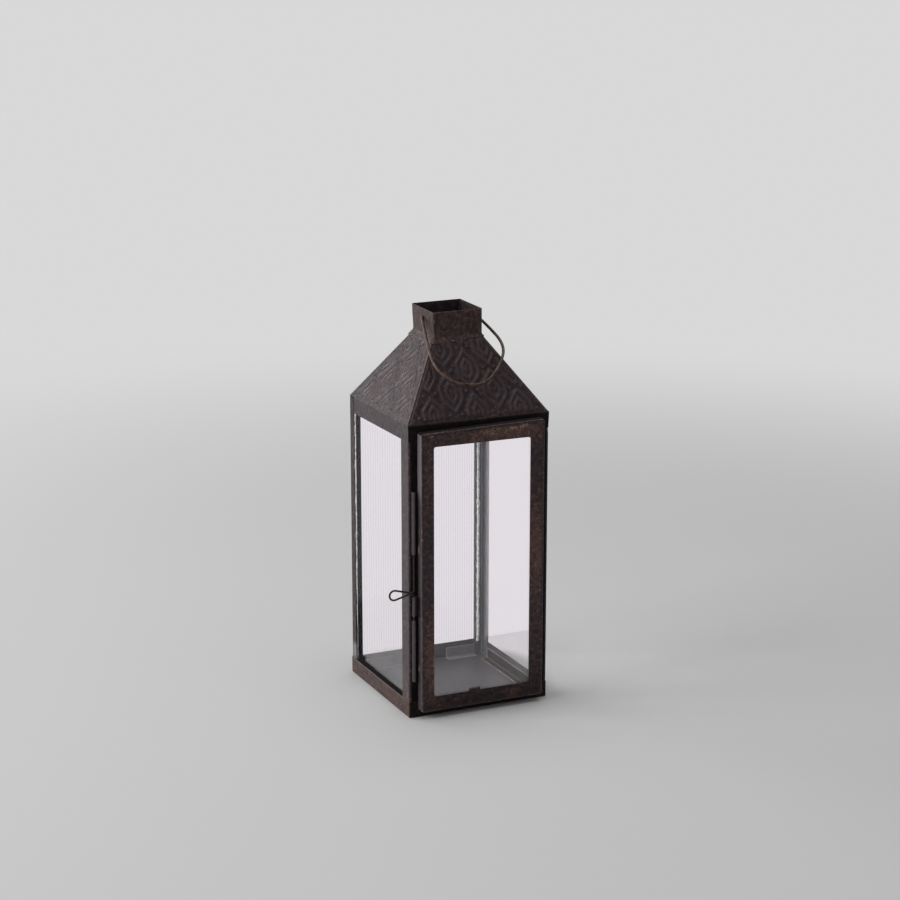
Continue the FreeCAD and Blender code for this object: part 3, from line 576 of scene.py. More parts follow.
def neckSleeve(sizes):
    # a square tube, one rounded square per row, splayed at its foot to lie on the slopes
    foot, rim = nodeBox("neck_sleeve")[1][[0, 2]]
    half, slope, level, radius = sizes["half"], sizes["roofSlope"], sizes["holeLevel"], sizes["holeRadius"]
    footTop = sizes["roofTop"] + sizes["tin"] * math.hypot(1, slope)
    footEnd = footTop - (foot - half) * slope
    line = bentLine(
        [(half, rim), (half, footTop), (foot, footEnd)], [sizes["footBend"]], sizes["rowSpacing"], 4)[0]
    steps = np.array(sizes["holeSteps"])
    steps = np.concatenate([-steps[::-1], steps])
    extra = (level + steps)[level + steps < rim - 0.3]
    keepRows = (line[:, 1] <= footTop + 1.2) | (np.abs(line[:, 1] - level) > 3.3)
    line = np.concatenate([line[keepRows], np.stack([half + 0 * extra, extra], axis=1)])
    line = line[np.argsort(-line[:, 1])]
    walls = np.concatenate([np.linspace(-1, -0.2, 12), steps / (half - sizes["corner"]), np.linspace(0.2, 1, 12)])
    outer = squareGrid(line, sizes["corner"], walls)
    inner = squareGrid(innerLine(line, sizes["tin"]), sizes["corner"] - sizes["tin"], walls)
    # the bail's holes: quads inside the circle go, and the points on its edge move onto it; y is
    # the outer grid's own, so on the inner grid the pull along y acts twice
    y, z = outer[..., 1], outer[..., 2] - level
    inside = (np.hypot(y, z) < radius * 1.04) & (np.abs(outer[..., 0]) > half - 0.3)
    cell = inside & np.roll(inside, -1, axis=1)
    cell = cell[:-1] & cell[1:]
    edge = touched(cell, True) & touched(~cell, True)
    toHole = np.maximum(np.hypot(y, z), 1e-6)
    for grid in (outer, inner):
        grid[..., 1] = np.where(edge, y / toHole * radius, grid[..., 1])
        grid[..., 2] = np.where(edge, z / toHole * radius + level, grid[..., 2])
        # the foot was trimmed unevenly: it reaches further down on the left than on the right
        reach = np.abs(grid[..., :2]).max(axis=-1)
        share = sizes["footLeft"] + (sizes["footRight"] - sizes["footLeft"]) * smoothStep(-half, half, grid[..., 0])
        longer = np.where(grid[..., 2] < footTop - 0.2, (reach - half) * (share - 1), 0)
        grid[..., :2] *= (1 + longer / reach)[..., None]
        grid[..., 2] -= longer * slope
        # folded by hand: the rim dips towards the front left and the left face leans out
        raised = smoothStep(sizes["bentFrom"], rim, grid[..., 2])
        across, back = sizes["dipWay"]
        toBack = (across * grid[..., 0] + back * grid[..., 1]) / ((across + back) * half)
        grid[..., 2] -= sizes["rimDip"] / 2 * raised * (1 - toBack)
        grid[..., 0] -= sizes["leanOut"] * raised * np.clip(-grid[..., 0] / half, 0, 1)
    rows = line[:, 1][:, None]
    corner = np.abs(np.abs(outer[..., 0]) - np.abs(outer[..., 1]))
    wear = most(0.52 * near(rows, rim, 0.6), 0.5 * np.exp(-corner / 0.8), 0.6 * near(rows, footEnd, 0.6),
                0.22 * near(rows, footTop, 0.8))
    part = sheetPart(outer, inner, keep=~cell, wrap=True, fields={"wear": wear, "inside": (0.0, 0.2), "rust": 0.3})
    tinPiece("neckSleeve", [part], "neck_sleeve")


neckSleeve(neckSizes)
print("neck made")


panSizes = dict(tin=0.5, corner=0.95, footBend=0.5, rowSpacing=1.0, underside=6.0)


def basePan(sizes):
    # one rounded square per row: down the wall, round the bend, in under the foot, and a flat cap
    half, top = nodeBox("base_pan")[1][[0, 2]]
    line = bentLine(
        [(half, top), (half, 0.0), (half - sizes["underside"], 0.0)], [sizes["footBend"]], sizes["rowSpacing"], 4)[0]
    walls = np.linspace(-1, 1, 60)
    radius = np.clip(sizes["corner"] + line[:, 0] - half, 0.6, None)
    outer = squareGrid(line, radius, walls)
    inner = squareGrid(innerLine(line, sizes["tin"]), np.clip(radius - sizes["tin"], 0.4, None), walls)
    corner = np.abs(np.abs(outer[..., 0]) - np.abs(outer[..., 1]))
    rows = line[:, 1][:, None]
    onLeft, onFront = (outer[..., axis] < sizes["tin"] - half for axis in (0, 1))
    wear = most(0.55 * near(rows, top, 0.8), 0.6 * np.exp(-corner / 2.2), 0.66 * near(rows, 0.0, 1.3), 0.42 * onLeft)
    # the front wall carries painted shade
    part = sheetPart(outer, inner, wrap=True, cap=True, fields={
        "wear": (wear, 0.15), "inside": (0.0, 1.0), "soot": 0.75 * onFront,
        "dusty": 0.45 * near(rows, top, 0.5) * onLeft, "rust": 0.4})
    tinPiece("basePan", [part], "base_pan")


basePan(panSizes)
print("base pan made")


postSizes = dict(
    tin=0.5, bend=0.95, rows=116,
    # the right posts stand out to the apron's face between the pan and the apron
    joggle=0.42, joggleLow=(13.4, 15.4), joggleHigh=(219.4, 221.4),
    # node, name, signs of x and y, the two legs' widths, marks on the side leg (z, half height, rubbing,
    # dust), and how far the inner face is bare, in painted shade and dusty
    posts=[
        ("corner_post_front_left", "postFrontLeft", (-1, -1), (11.5, 14.4),
         [(26.0, 17.0, 0.5, 0.0), (120.0, 130.0, 0.0, 0.14)], (0.9, 0.0, 0.0)),
        ("corner_post_front_right", "postFrontRight", (1, -1), (11.5, 11.5),
         [(12.0, 12.0, 0.5, 0.0)], (0.9, 0.0, 0.0)),
        ("corner_post_back_left", "postBackLeft", (-1, 1), (10.4, 8.6), [(20.0, 6.0, 0.3, 1.2)], (0.2, 0.9, 0.0)),
        ("corner_post_back_right", "postBackRight", (1, 1), (8.6, 14.0), [], (0.9, 0.0, 0.45)),
    ],
)


def cornerPost(node, name, signs, legs, marks, behind, sizes):
    # an L of two legs, cut by hand to the widths given: along the door or back wall, then the side wall
    low, high = nodeBox(node)
    face = np.abs(np.array([low[:2], high[:2]])).max()
    line, length, bends = bentLine(
        [(face - legs[0], face), (face, face), (face, face - legs[1])], [sizes["bend"]], 1.2, 6)
    z = np.arange(low[2], high[2] + 0.01, (high[2] - low[2]) / sizes["rows"])
    joggle = sizes["joggle"] * (signs[0] > 0) * smoothStep(*sizes["joggleLow"], z)
    joggle = joggle * (1 - smoothStep(*sizes["joggleHigh"], z))

    def surface(points):
        plan = points * np.array(signs)
        return gridOf(plan[None, :, 0] + joggle[:, None], plan[None, :, 1], z[:, None])

    wear = most(0.5 * near(length, bends, 1.0), 0.5 * near(length, [0, length[-1]], 0.5))
    wear = wear[None, :] * (0.85 + 0.3 * drift(z, 0 * z, 60, 20 + signs[0] + 2 * signs[1]))[:, None]
    # painted shade on the front posts' front legs, in the recess beside the door
    soot = 0.85 * (length < bends[0] - 1.2) * (signs[1] < 0)
    onSide = (length > bends[0] + 1.0)[None, :]
    dusty = 0 * wear
    ragged = 1.1 + 0.5 * drift(z[:, None], 6 * length[None], 7, 17)
    for level, size, rub, dust in marks:
        spot = np.exp(-((z[:, None] - level) / size) ** 4) * onSide
        wear = most(wear, rub * spot)
        dusty = most(dusty, np.clip(dust * spot * ragged, 0, 1))
    part = sheetPart(surface(line), surface(innerLine(line, sizes["tin"], 1)), fields={
        "wear": (wear, 0.1), "inside": (0.0, behind[0]), "soot": (soot, behind[1]), "dusty": (dusty, behind[2])})
    tinPiece(name, [part], node)


for post in postSizes["posts"]:
    cornerPost(*post, postSizes)
print("posts made")


stripSizes = dict(
    tin=0.5, bend=0.7, lipTop=9.5, lipTin=0.2,
    # node, name, quarter, dust, painted shade, bare edges, and thin lips outside the pane, dark with painted shade
    # (out, z from and to, along from and to)
    rails=[
        ("glass_rail_right", "railRight", 1, 0.0, 0.35, 1.2, []),
        ("glass_rail_left", "railLeft", 3, 0.0, 1.0, 0.0,
         [(58.6, 9.0, 20.0, -50.4, -34.0), (58.88, 9.0, 16.6, -50.6, 45.0)]),
        ("glass_tab_back_left", "tabBackLeft", 2, 0.3, 0.0, 0.3, []),
        ("glass_tab_back_right", "tabBackRight", 2, 0.75, 0.0, 1.6, []),
    ],
    clipWidth=9.0, clipDrop=5.0,
    clips=[("glass_clips_right", "headClipsRight", 1), ("glass_clips_left", "headClipsLeft", 3),
           ("glass_clips_back", "headClipsBack", 2)],
)


def stripPart(corners, radii, low, high, quarter, tin, dusty, soot, bare=0.0):
    # a bent strip: its middle line in (outward, up), carried along the wall from low to high
    line, length, bends = bentLine(corners, radii, 1.0, 4)
    along = np.linspace(low, high, max(3, int((high - low) / 1.5)))

    def surface(points):
        return turned(gridOf(along[None], -points[:, None, 0], points[:, None, 1]), quarter)

    wear = most(0.5 * near(length, bends, 0.6)[:, None], 0.6 * near(length, [0, length[-1]], 0.5)[:, None],
                0.6 * near(along, [low, high], 0.6))
    return sheetPart(surface(offsetLine(line, -tin / 2)), surface(offsetLine(line, tin / 2)), fields={
        "wear": (wear, wear), "dusty": (dusty, dusty), "soot": (soot, soot), "chip": (bare * wear, bare * wear)})


def railPiece(node, name, quarter, dusty, soot, bare, lips, sizes):
    # an L along the wall: its upright lip behind the pane, its foot on the pan's floor
    start, end, foot, lip, floor = wallBox(node, quarter)[:5]
    lip, floor = lip - sizes["tin"] / 2, floor + sizes["tin"] / 2
    parts = [stripPart([(lip, sizes["lipTop"]), (lip, floor), (foot, floor)], [sizes["bend"]], start, end, quarter,
                       sizes["tin"], dusty, soot, bare)]
    for out, z0, z1, lipStart, lipEnd in lips:
        # each lip is near black with painted shade
        parts.append(stripPart([(out, z0), (out + 0.01, (z0 + z1) / 2), (out, z1)], [0.2], lipStart, lipEnd, quarter,
                               sizes["lipTin"], 0.0, 0.96))
    tinPiece(name, parts, node)


def headClips(node, name, quarter, sizes):
    # a Z at each end of the wall: up the wall, out under the head of the pane, and down behind it
    start, end, lip, wall, bottom, top = wallBox(node, quarter)
    wall, lip = wall - sizes["tin"] / 2, lip + sizes["tin"] / 2
    level = top - sizes["clipDrop"] + sizes["tin"] / 2
    corners = [(wall, top), (wall, level), (lip, level), (lip, bottom)]
    # the clips carry some painted shade, up under the roof
    parts = [stripPart(corners, [0.4, sizes["bend"]], *span, quarter, sizes["tin"], 0.0, 0.4)
             for span in ((start, start + sizes["clipWidth"]), (end - sizes["clipWidth"], end))]
    tinPiece(name, parts, node)


for rail in stripSizes["rails"]:
    railPiece(*rail, stripSizes)
for clips in stripSizes["clips"]:
    headClips(*clips, stripSizes)
print("rails and clips bent")


paneSizes = dict(
    bevel=0.22, flutePitch=2.1, fluteDepth=0.3, fluteSteps=10,
    # node, name, body, the axis across it, and its glass
    flat=[("glass_left", "paneLeft", "frame", 0, leftPaneMaterial),
          ("glass_right", "paneRight", "frame", 0, paneMaterial),
          ("door_glass", "paneDoor", "door", 1, paneMaterial)],
    # putty by the back posts: x, y, radius, and how much it thins towards the foot, between two levels
    beads=[(-58.75, 49.2, 0.7, 0.7), (53.7, 55.9, 1.25, 0.0)],
    beadSpan=(12, 222), beadThins=(30, 105),
)


def meshValues(items, key, width=1, kind=np.float32):
    # the key's value for all items at once
    values = np.empty(width * len(items), dtype=kind)
    items.foreach_get(key, values)
    return values.reshape(-1, width) if width > 1 else values


def flatPane(node, name, body, thin, glass, sizes):
    # a slab of glass with its arrises taken off; thin is the axis across it
    signs = np.array([[0, 0, 0], [1, 0, 0], [1, 1, 0], [0, 1, 0], [0, 0, 1], [1, 0, 1], [1, 1, 1], [0, 1, 1]])
    points = np.array(nodeBox(node))[signs, np.arange(3)]
    faces = [np.array([[0, 3, 2, 1], [4, 5, 6, 7], [0, 1, 5, 4], [1, 2, 6, 5], [2, 3, 7, 6], [3, 0, 4, 7]])]

    def slots(mesh):
        return np.where(np.abs(meshValues(mesh.polygons, "normal", 3)[:, thin]) > 0.9, 0, 1)

    piece = makePiece(name, [dict(points=points, faces=faces, fields={})], [glass, edgeMaterial], 20.0, slots)
    arris = piece.modifiers.new("arris", "BEVEL")
    arris.width = sizes["bevel"] * mm
    arris.segments = 2
    arris.material = 1
    dress(piece, node, body)


def beadPart(x, y, radius, taper, sizes):
    # putty run down beside a post: its radius is a mean plus slow and quick waves
    z = np.linspace(*sizes["beadSpan"], 260)
    size = radius * (1 + 0.25 * drift(z, 0 * z, 12, int(60 + x)) + 0.16 * drift(z, 0 * z, 3, int(80 + x)))
    size = (size * (1 - taper * (1 - smoothStep(*sizes["beadThins"], z))))[:, None]
    middle = (x + 0.2 * drift(z, 0 * z, 20, int(90 + x)))[:, None]
    angle = np.linspace(0, 2 * np.pi, 12, endpoint=False)
    return loftPart(gridOf(middle + size * np.cos(angle), y + size * np.sin(angle), z[:, None]), {"bead": 1.0})


def flutedPane(sizes):
    # the inner face is a row of round ribs: depth falls as the square of the distance from a crown
    low, high = nodeBox("glass_back")
    ribs = int((high[0] - low[0]) / sizes["flutePitch"])
    x = np.linspace(low[0], high[0], ribs * sizes["fluteSteps"] + 1)
    place = (x - low[0]) / (high[0] - low[0]) * ribs % 1.0
    depth = sizes["fluteDepth"] * (2 * place - 1) ** 2
    z = np.linspace(low[2], high[2], 4)[:, None]

    def slots(mesh):
        # the sheet's two faces, its cut edges, and the putty
        bead = meshValues(mesh.attributes["bead"].data, "value")
        starts = meshValues(mesh.polygons, "loop_start", kind=np.int32)
        corners = meshValues(mesh.loops, "vertex_index", kind=np.int32)
        ofGlass = np.where(np.abs(meshValues(mesh.polygons, "normal", 3)[:, 1]) > 0.3, 0, 1)
        return np.where(bead[corners[starts]] > 0.5, 2, ofGlass)

    parts = [sheetPart(gridOf(x, low[1] + depth, z), gridOf(x, high[1], z), fields={
        "groove": (depth / sizes["fluteDepth"]) ** 1.5, "bead": 0.0})]
    parts += [beadPart(*bead, sizes) for bead in sizes["beads"]]
    piece = makePiece("paneBack", parts, [fluteMaterial, edgeMaterial, beadMaterial], 60.0, slots)
    dress(piece, "glass_back", "frame")


for pane in paneSizes["flat"]:
    flatPane(*pane, paneSizes)
flutedPane(paneSizes)
print("panes cut")


doorSizes = dict(
    tin=0.5, bend=1.0, stiles=(10.3, 12.4), topRail=10.8, bottomRail=12.3, windowBend=0.8, slit=0.3, spacing=1.4,
    topRise=2.4,  # its top edge was folded out of level, higher at the hinge
    rimDust=(172.0, 186.0), darkerUpTo=45.0,  # levels between which the rim's dust thickens, and up to which the face darkens
    # pale marks on the left rim: height, distance behind the face, length, strength
    rimMarks=[(137.0, 6.2, 4.0, 1.0), (93.0, 5.2, 8.0, 0.55), (40.0, 6.2, 3.0, 1.0), (151.0, 5.8, 1.6, 0.6),
              (204.0, 3.0, 1.5, 0.4)],
    # rusty and rubbed patches on the face: x, z, half width, half height, strength
    rustPatches=[(18.0, 226.0, 42.0, 12.0, 1.1), (47.0, 128.0, 9.0, 48.0, 1.0), (-44.0, 45.0, 8.0, 45.0, 1.0),
                 (-46.0, 195.0, 5.0, 35.0, 0.5), (26.0, 12.0, 7.0, 5.0, 0.8)],
    facePatches=[(31.0, 226.5, 9.0, 2.4, 0.95), (10.0, 225.5, 18.0, 4.0, 0.62), (-40.0, 226.5, 9.0, 2.5, 0.55),
                 (46.0, 118.0, 3.5, 30.0, 0.46), (-43.0, 42.0, 3.0, 26.0, 0.46), (26.0, 12.0, 6.0, 4.0, 0.4)],
    # how far each clip laps over the pane, half its width, and the reach and place of the one on the sill
    clipLap=5, clipHalf=5, clipBend=0.6, sillLap=13.4, sillSpan=(-11, -1.5),
)


def foldPlaces(half, depth, window, sizes):
    # places across a folded sheet, from edge to edge: flat, a quarter turn, and the rim; returns
    # them, the flat's half width, and how far across and how far back each lies on both faces
    bend, step = sizes["bend"], sizes["spacing"]
    flat = half - bend
    arc = bend * np.pi / 2
    rim = flat + arc + np.linspace(0, depth - bend, 8)
    side = np.concatenate([flat + arc * np.linspace(0, 1, 6), rim[1:]])
    byEdge = np.arange(-3, 4) / 2
    middle = np.concatenate([
        np.linspace(-flat, window[0] - 2, max(2, int((window[0] - 2 + flat) / step))), window[0] + byEdge,
        np.linspace(window[0] + 2.2, window[1] - 2.2, int((window[1] - window[0]) / (2 * step))), window[1] + byEdge,
        np.linspace(window[1] + 2, flat, max(2, int((flat - window[1] - 2) / step)))])
    places = np.concatenate([-side[::-1], middle[1:-1], side])
    size = np.abs(places)
    angle = np.clip((size - flat) / bend, 0, np.pi / 2)
    beyond = np.clip(size - flat - arc, 0, None)

    def at(inset):
        across = np.where(size <= flat, size, flat + (bend - inset) * np.sin(angle)) * np.sign(places)
        back = np.where(size <= flat, inset, bend - (bend - inset) * np.cos(angle)) + beyond
        return across, back

    return places, flat, at(0.0), at(sizes["tin"])


def ofQuads(marks, gather):
    # np.all or np.any over the four points of each quad
    return gather([marks[:-1, :-1], marks[1:, :-1], marks[:-1, 1:], marks[1:, 1:]], axis=0)


def doorFrame(sizes):
    # one sheet with a window, its four edges folded back, slit open at the corners: each point is
    # as far back as its places across and up the sheet together say
    low, high = nodeBox("door_frame")
    halfX, halfZ, midZ = high[0], (high[2] - low[2]) / 2, (high[2] + low[2]) / 2
    depth, face = high[1] - low[1], low[1]
    windowX = (sizes["stiles"][0] - halfX, halfX - sizes["stiles"][1])
    windowZ = (low[2] + sizes["bottomRail"] - midZ, high[2] - sizes["topRail"] - midZ)
    placesX, flatX, outX, inX = foldPlaces(halfX, depth, windowX, sizes)
    placesZ, flatZ, outZ, inZ = foldPlaces(halfZ, depth, windowZ, sizes)

    def surface(across, up, inset):
        return gridOf(across[0], face + across[1] + up[1][:, None] - inset, up[0][:, None] + midZ)

    outer, inner = surface(outX, outZ, 0.0), surface(inX, inZ, sizes["tin"])
    gridX, gridZ = np.meshgrid(placesX, placesZ)
    # the window: signed distance to a rectangle with round corners
    r = sizes["windowBend"]
    fromX, fromZ = gridX - sum(windowX) / 2, gridZ - sum(windowZ) / 2
    qx = np.abs(fromX) - (windowX[1] - windowX[0]) / 2 + r
    qz = np.abs(fromZ) - (windowZ[1] - windowZ[0]) / 2 + r
    distance = np.hypot(np.maximum(qx, 0), np.maximum(qz, 0)) + np.minimum(np.maximum(qx, qz), 0) - r
    cell = ofQuads(distance < 0.02, np.all)
    slit = ofQuads((np.abs(gridX) > flatX + sizes["slit"]) & (np.abs(gridZ) > flatZ + sizes["slit"]), np.any)
    # points of the window's edge that stand off its round corners move onto them
    edge = touched(cell) & (qx > 0) & (qz > 0)
    pull = np.where(edge, r / np.maximum(np.hypot(qx, qz), 1e-6) - 1, 0)
    for grid in (outer, inner):
        share = np.clip((grid[..., 2] - midZ - windowZ[1] - 1) / (halfZ - windowZ[1] - 1), 0, 1)
        grid[..., 2] += sizes["topRise"] * share * (grid[..., 0] + halfX) / (2 * halfX)
        grid[..., 0] += np.sign(fromX) * qx * pull
        grid[..., 2] += np.sign(fromZ) * qz * pull

    onFace = (np.abs(gridX) < flatX) & (np.abs(gridZ) < flatZ)
    height, behind = outer[..., 2], outer[..., 1] - face

    def toLines(reach):
        # the distance to the nearest of the four lines that lie that far beyond the flat
        return np.minimum(np.abs(np.abs(gridX) - flatX - reach), np.abs(np.abs(gridZ) - flatZ - reach))

    wear = 0.62 * np.exp(-toLines(0.8) / 0.9) * (1 + 0.25 * drift(gridX, gridZ, 50, 31))
    wear = most(wear, 0.55 * np.exp(-np.abs(distance) / 0.6))
    for *place, strength in sizes["facePatches"]:
        streaks = 1 + 0.45 * drift(gridX, 0.15 * gridZ, 3.2, int(400 + place[0]))
        wear = most(wear, strength * streaks * spotOn(gridX, gridZ + midZ, place) * onFace)
    rust = 0 * wear
    for *place, strength in sizes["rustPatches"]:
        rust = most(rust, strength * spotOn(gridX, gridZ + midZ, place) * onFace)
    rimEnd = sizes["bend"] * np.pi / 2 + depth - sizes["bend"]
    wear = most(wear, 0.62 * np.exp(-toLines(rimEnd) / 0.6))
    dusty = (0.3 + 0.5 * smoothStep(*sizes["rimDust"], height)) * ((gridX < -flatX) & (behind > 0.5))
    # the face darkens towards its bottom, and the top rim, under the eave, carries painted shadow
    soot = 0.45 * np.clip(1 - height / sizes["darkerUpTo"], 0, 1) * onFace
    soot = most(soot, 0.7 * ((gridZ > flatZ) & (behind > 0.7)))
    chip = 0 * wear
    for level, back, size, strength in sizes["rimMarks"]:
        spot = strength * np.exp(-((height - level) / size) ** 4 - ((behind - back) / 1.6) ** 4)
        chip = most(chip, spot * ((gridX < 0) & (behind > 0.6)))
    part = sheetPart(outer, inner, keep=~cell & ~slit, fields={
        "wear": (wear, 0.1), "inside": (0.0, 0.7), "chip": chip, "dusty": dusty, "soot": soot, "rust": rust})
    tinPiece("doorFrame", [part], "door_frame", "door")


def doorClips(sizes):
    # strips bent once: forward from the rim's back edge to the pane, and then over it
    low, high = nodeBox("door_glass_clips")
    frameLow, frameHigh = nodeBox("door_frame")
    half = sizes["tin"] / 2
    lap, wide = sizes["clipLap"], sizes["clipHalf"]
    parts = []

    def clip(edge, tip, spread, sign=0):
        # sign is the side of an upright clip, 0 for one on the sill or the head
        front, back = low[1] + half, high[1]
        line, length, bends = bentLine([(edge, back), (edge, front), (tip, front)], [sizes["clipBend"]], 0.8, 4)
        along = np.linspace(*spread, 7)

        def surface(points):
            across, out = points[:, :1], points[:, 1:]
            return gridOf(sign * across, out, along) if sign else gridOf(along, out, across)

        wear = 0.3 * near(length, bends, 0.6)[:, None]
        # the clips are near black with painted shade, down inside the door's rim
        parts.append(sheetPart(surface(offsetLine(line, -half)), surface(offsetLine(line, half)), fields={
            "wear": (wear, wear), "soot": (1.0, 1.0)}))

    middle, step = (frameLow[2] + frameHigh[2]) / 2, (frameHigh[2] - frameLow[2]) / 4
    for z in (middle - step, middle + step):
        for sign in (-1, 1):
            clip(high[0] - half, high[0] - lap, (z - wide, z + wide), sign)
    clip(low[2] + half, low[2] + sizes["sillLap"], sizes["sillSpan"])
    clip(high[2] - half, high[2] - lap, (-wide, wide))
    tinPiece("doorClips", parts, "door_glass_clips", "door")


doorFrame(doorSizes)
doorClips(doorSizes)
print("door folded")


tubeSizes = dict(
    radius=1.4, wall=0.58, seamAngle=10.0, endRound=0.12, tin=0.5, latchX=-56.3, hingeX=54.1, line=-61.2, post=-59.5,
    pinRadius=0.75,
    # node, name, the line it stands on, and the way its seam faces in degrees
    onBody=[("latch_tube_lower", "latchTubeLower", "latchX", 215),
            ("latch_tube_upper", "latchTubeUpper", "latchX", 195),
            ("hinge_tube_lower", "hingeTubeLower", "hingeX", 330),
            ("hinge_tube_upper", "hingeTubeUpper", "hingeX", 340)],
    # the same, then where the leaf leaves the tube's middle, its bend, and how far it stands inside the CAD leaf
    onDoor=[("latch_keeper", "keeper", "latchX", 200, 0.5, 0.45, 0.02),
            ("hinge_knuckle_door", "hingeKnuckle", "hingeX", 20, -0.6, 0.3, 0.0)],
)


def tubePart(x, z0, z1, seamAt, sizes):
    # strip rolled round a wire: a circle left open by a narrow seam, its ends a little rounded
    gap, small = math.radians(sizes["seamAngle"]) / 2, sizes["endRound"]
    angle = math.radians(seamAt) + np.linspace(gap, 2 * np.pi - gap, 30)
    z = np.concatenate([
        [z0, z0 + small], np.linspace(z0 + 0.6, z1 - 0.6, max(3, int((z1 - z0) / 2))), [z1 - small, z1]])
    shrink = np.zeros((len(z), 1))
    shrink[[0, -1]] = small

    def surface(radius):
        return gridOf(x + radius * np.cos(angle), sizes["line"] + radius * np.sin(angle), z[:, None])

    wear = 0.55 * near(z, [z0, z1], 0.8)[:, None] + 0.35 * near(angle, angle[[0, -1]], 0.25)
    wear = wear + 0.12 * drift(z, 0 * z, 14, int(z0))[:, None]
    return sheetPart(surface(sizes["radius"] - shrink), surface(sizes["radius"] - sizes["wall"]), fields={
        "wear": wear, "dusty": 0.32})


def seatPart(x, z0, z1, sizes):
    # solder run under a tube: a low hump from the post up to the tube, its foot uneven
    z = np.linspace(z0 + 0.2, z1 - 0.2, 40)
    foot = 1.35 + 0.22 * drift(z, 0 * z, 9, int(z0) + 5)
    shape = np.array([[-1, 0], [-0.78, 0.3], [-0.6, 0.62], [0.6, 0.62], [0.78, 0.3], [1, 0]])
    return loftPart(gridOf(x + shape[:, 0] * foot[:, None], sizes["post"] - shape[:, 1], z[:, None]), {"wear": 0.3})


def leafPart(corners, radii, z0, z1, tin):
    # a strip bent as seen from above, its middle line carried up from z0 to z1
    line, length = bentLine(corners, radii, 0.7, 4)[:2]
    z = np.linspace(z0, z1, max(3, int((z1 - z0) / 1.5)))

    def surface(points):
        return gridOf(points[:, 0], points[:, 1], z[:, None])

    wear = most(0.4 * near(length, [0, length[-1]], 0.5), 0.5 * near(z, [z0, z1], 0.6)[:, None])
    return sheetPart(surface(offsetLine(line, -tin / 2)), surface(offsetLine(line, tin / 2)), fields={
        "wear": (wear, wear)})


def bodyTube(node, name, line, seamAt, sizes):
    low, high = nodeBox(node)
    x, z0, z1 = sizes[line], low[2], high[2]
    tinPiece(name, [tubePart(x, z0, z1, seamAt, sizes), seatPart(x, z0, z1, sizes)], node)


def doorTube(node, name, line, seamAt, leafStart, bend, within, sizes):
    # its leaf runs off the back of the tube to the door's rim and bends forward along it
    low, high = nodeBox(node)
    x, z0, z1, tin = sizes[line], low[2], high[2], sizes["tin"]
    rim = high[0] - within - tin / 2 if x < 0 else low[0] + within + tin / 2
    level = sizes["line"] + sizes["radius"] - tin / 2
    leaf = leafPart([(x + leafStart, level), (rim, level), (rim, low[1])], [bend], z0, z1, tin)
    tinPiece(name, [tubePart(x, z0, z1, seamAt, sizes), leaf], node, "door")


for tube in tubeSizes["onBody"]:
    bodyTube(*tube, tubeSizes)
for tube in tubeSizes["onDoor"]:
    doorTube(*tube, tubeSizes)
print("tubes rolled")


def wirePart(path, across, radius, sides=20, endRound=0.35):
    # a round section carried along a flat path; across is the unit vector square to its plane
    way = unit(np.gradient(path, axis=0))
    side = unit(np.cross(way, across))
    angle = np.linspace(0, 2 * np.pi, sides, endpoint=False)[:, None]
    along = lengthAlong(path)
    toEnd = np.minimum(along, along[-1] - along)
    size = radius * np.sqrt(np.clip(1 - np.clip(1 - toEnd / endRound, 0, 1) ** 2 * 0.6, 0.1, 1))
    ring = side[:, None] * np.cos(angle) + across * np.sin(angle)
    return loftPart(path[:, None] + ring * size[:, None, None])


def cutCorners(points, rounds):
    # each round puts two points on every run, a quarter in from its ends, and keeps the two ends
    for _ in range(rounds):
        a, b = points[:-1], points[1:]
        both = np.stack([0.75 * a + 0.25 * b, 0.25 * a + 0.75 * b], axis=1).reshape(-1, points.shape[1])
        points = np.concatenate([points[:1], both[1:-1], points[-1:]])
    return points


def easedPath(points, window, step=0.2):
    # evenly spaced along its length, then a moving average that rounds its corners
    length = lengthAlong(points)
    even = np.append(np.arange(0, length[-1], step), length[-1])
    line = np.stack([np.interp(even, length, column) for column in points.T], axis=1)
    count = max(1, int(window / step / 2)) * 2 + 1
    padded = np.pad(line, ((count // 2, count // 2), (0, 0)), mode="reflect", reflect_type="odd")
    return np.stack([np.convolve(column, np.ones(count) / count, mode="valid") for column in padded.T], axis=1)


boltSizes = dict(
    wire=1.5, x=-56.3, y=-61.2, top=152.0, bottom=75.0, loopLevel=102.8, loopHeight=9.3, loopReach=21.2,
    loopRoot=4.6, pinch=0.1, ease=2.6,
)


def latchBolt(sizes):
    # down from the top, out along the upper leg, round the tip's circle, and back along the lower leg
    r, x, level = sizes["wire"] / 2, sizes["x"], sizes["loopLevel"]
    gap = r + sizes["pinch"] / 2
    root = x - sizes["loopRoot"]
    tipRadius = sizes["loopHeight"] / 2 - r
    tip = x - sizes["loopReach"] + r + tipRadius
    slope = math.asin(tipRadius / math.hypot(root - tip, gap)) - math.atan2(gap, root - tip)
    angle = np.linspace(np.pi / 2 - slope, 3 * np.pi / 2 + slope, 40)
    circle = np.stack([tip + tipRadius * np.cos(angle), level + tipRadius * np.sin(angle)], axis=1)
    path = np.concatenate([
        [(x, sizes["top"]), (x, level + gap), (root, level + gap)], circle,
        [(root, level - gap), (x, level - gap), (x, sizes["bottom"])]])
    path = easedPath(path, sizes["ease"])
    part = wirePart(gridOf(path[:, 0], sizes["y"], path[:, 1]), np.array([0.0, 1.0, 0.0]), r)
    dress(makePiece("latchBolt", [part], [latchMaterial]), "latch_bolt", "bolt")


bailSizes = dict(
    wire=2.3, level=306.6, angle=51.5, width=64.0, drop=72.0, side=22.0, inset=17.5, hook=5.0, ease=2.2,
    # the bow's corners as shares of its width and drop
    shares=[(-0.487, 0.701), (-0.308, 0.947), (-0.128, 1.004), (0.117, 1.003), (0.406, 0.764), (0.58, 0.497),
            (0.45, 0.168)],
)


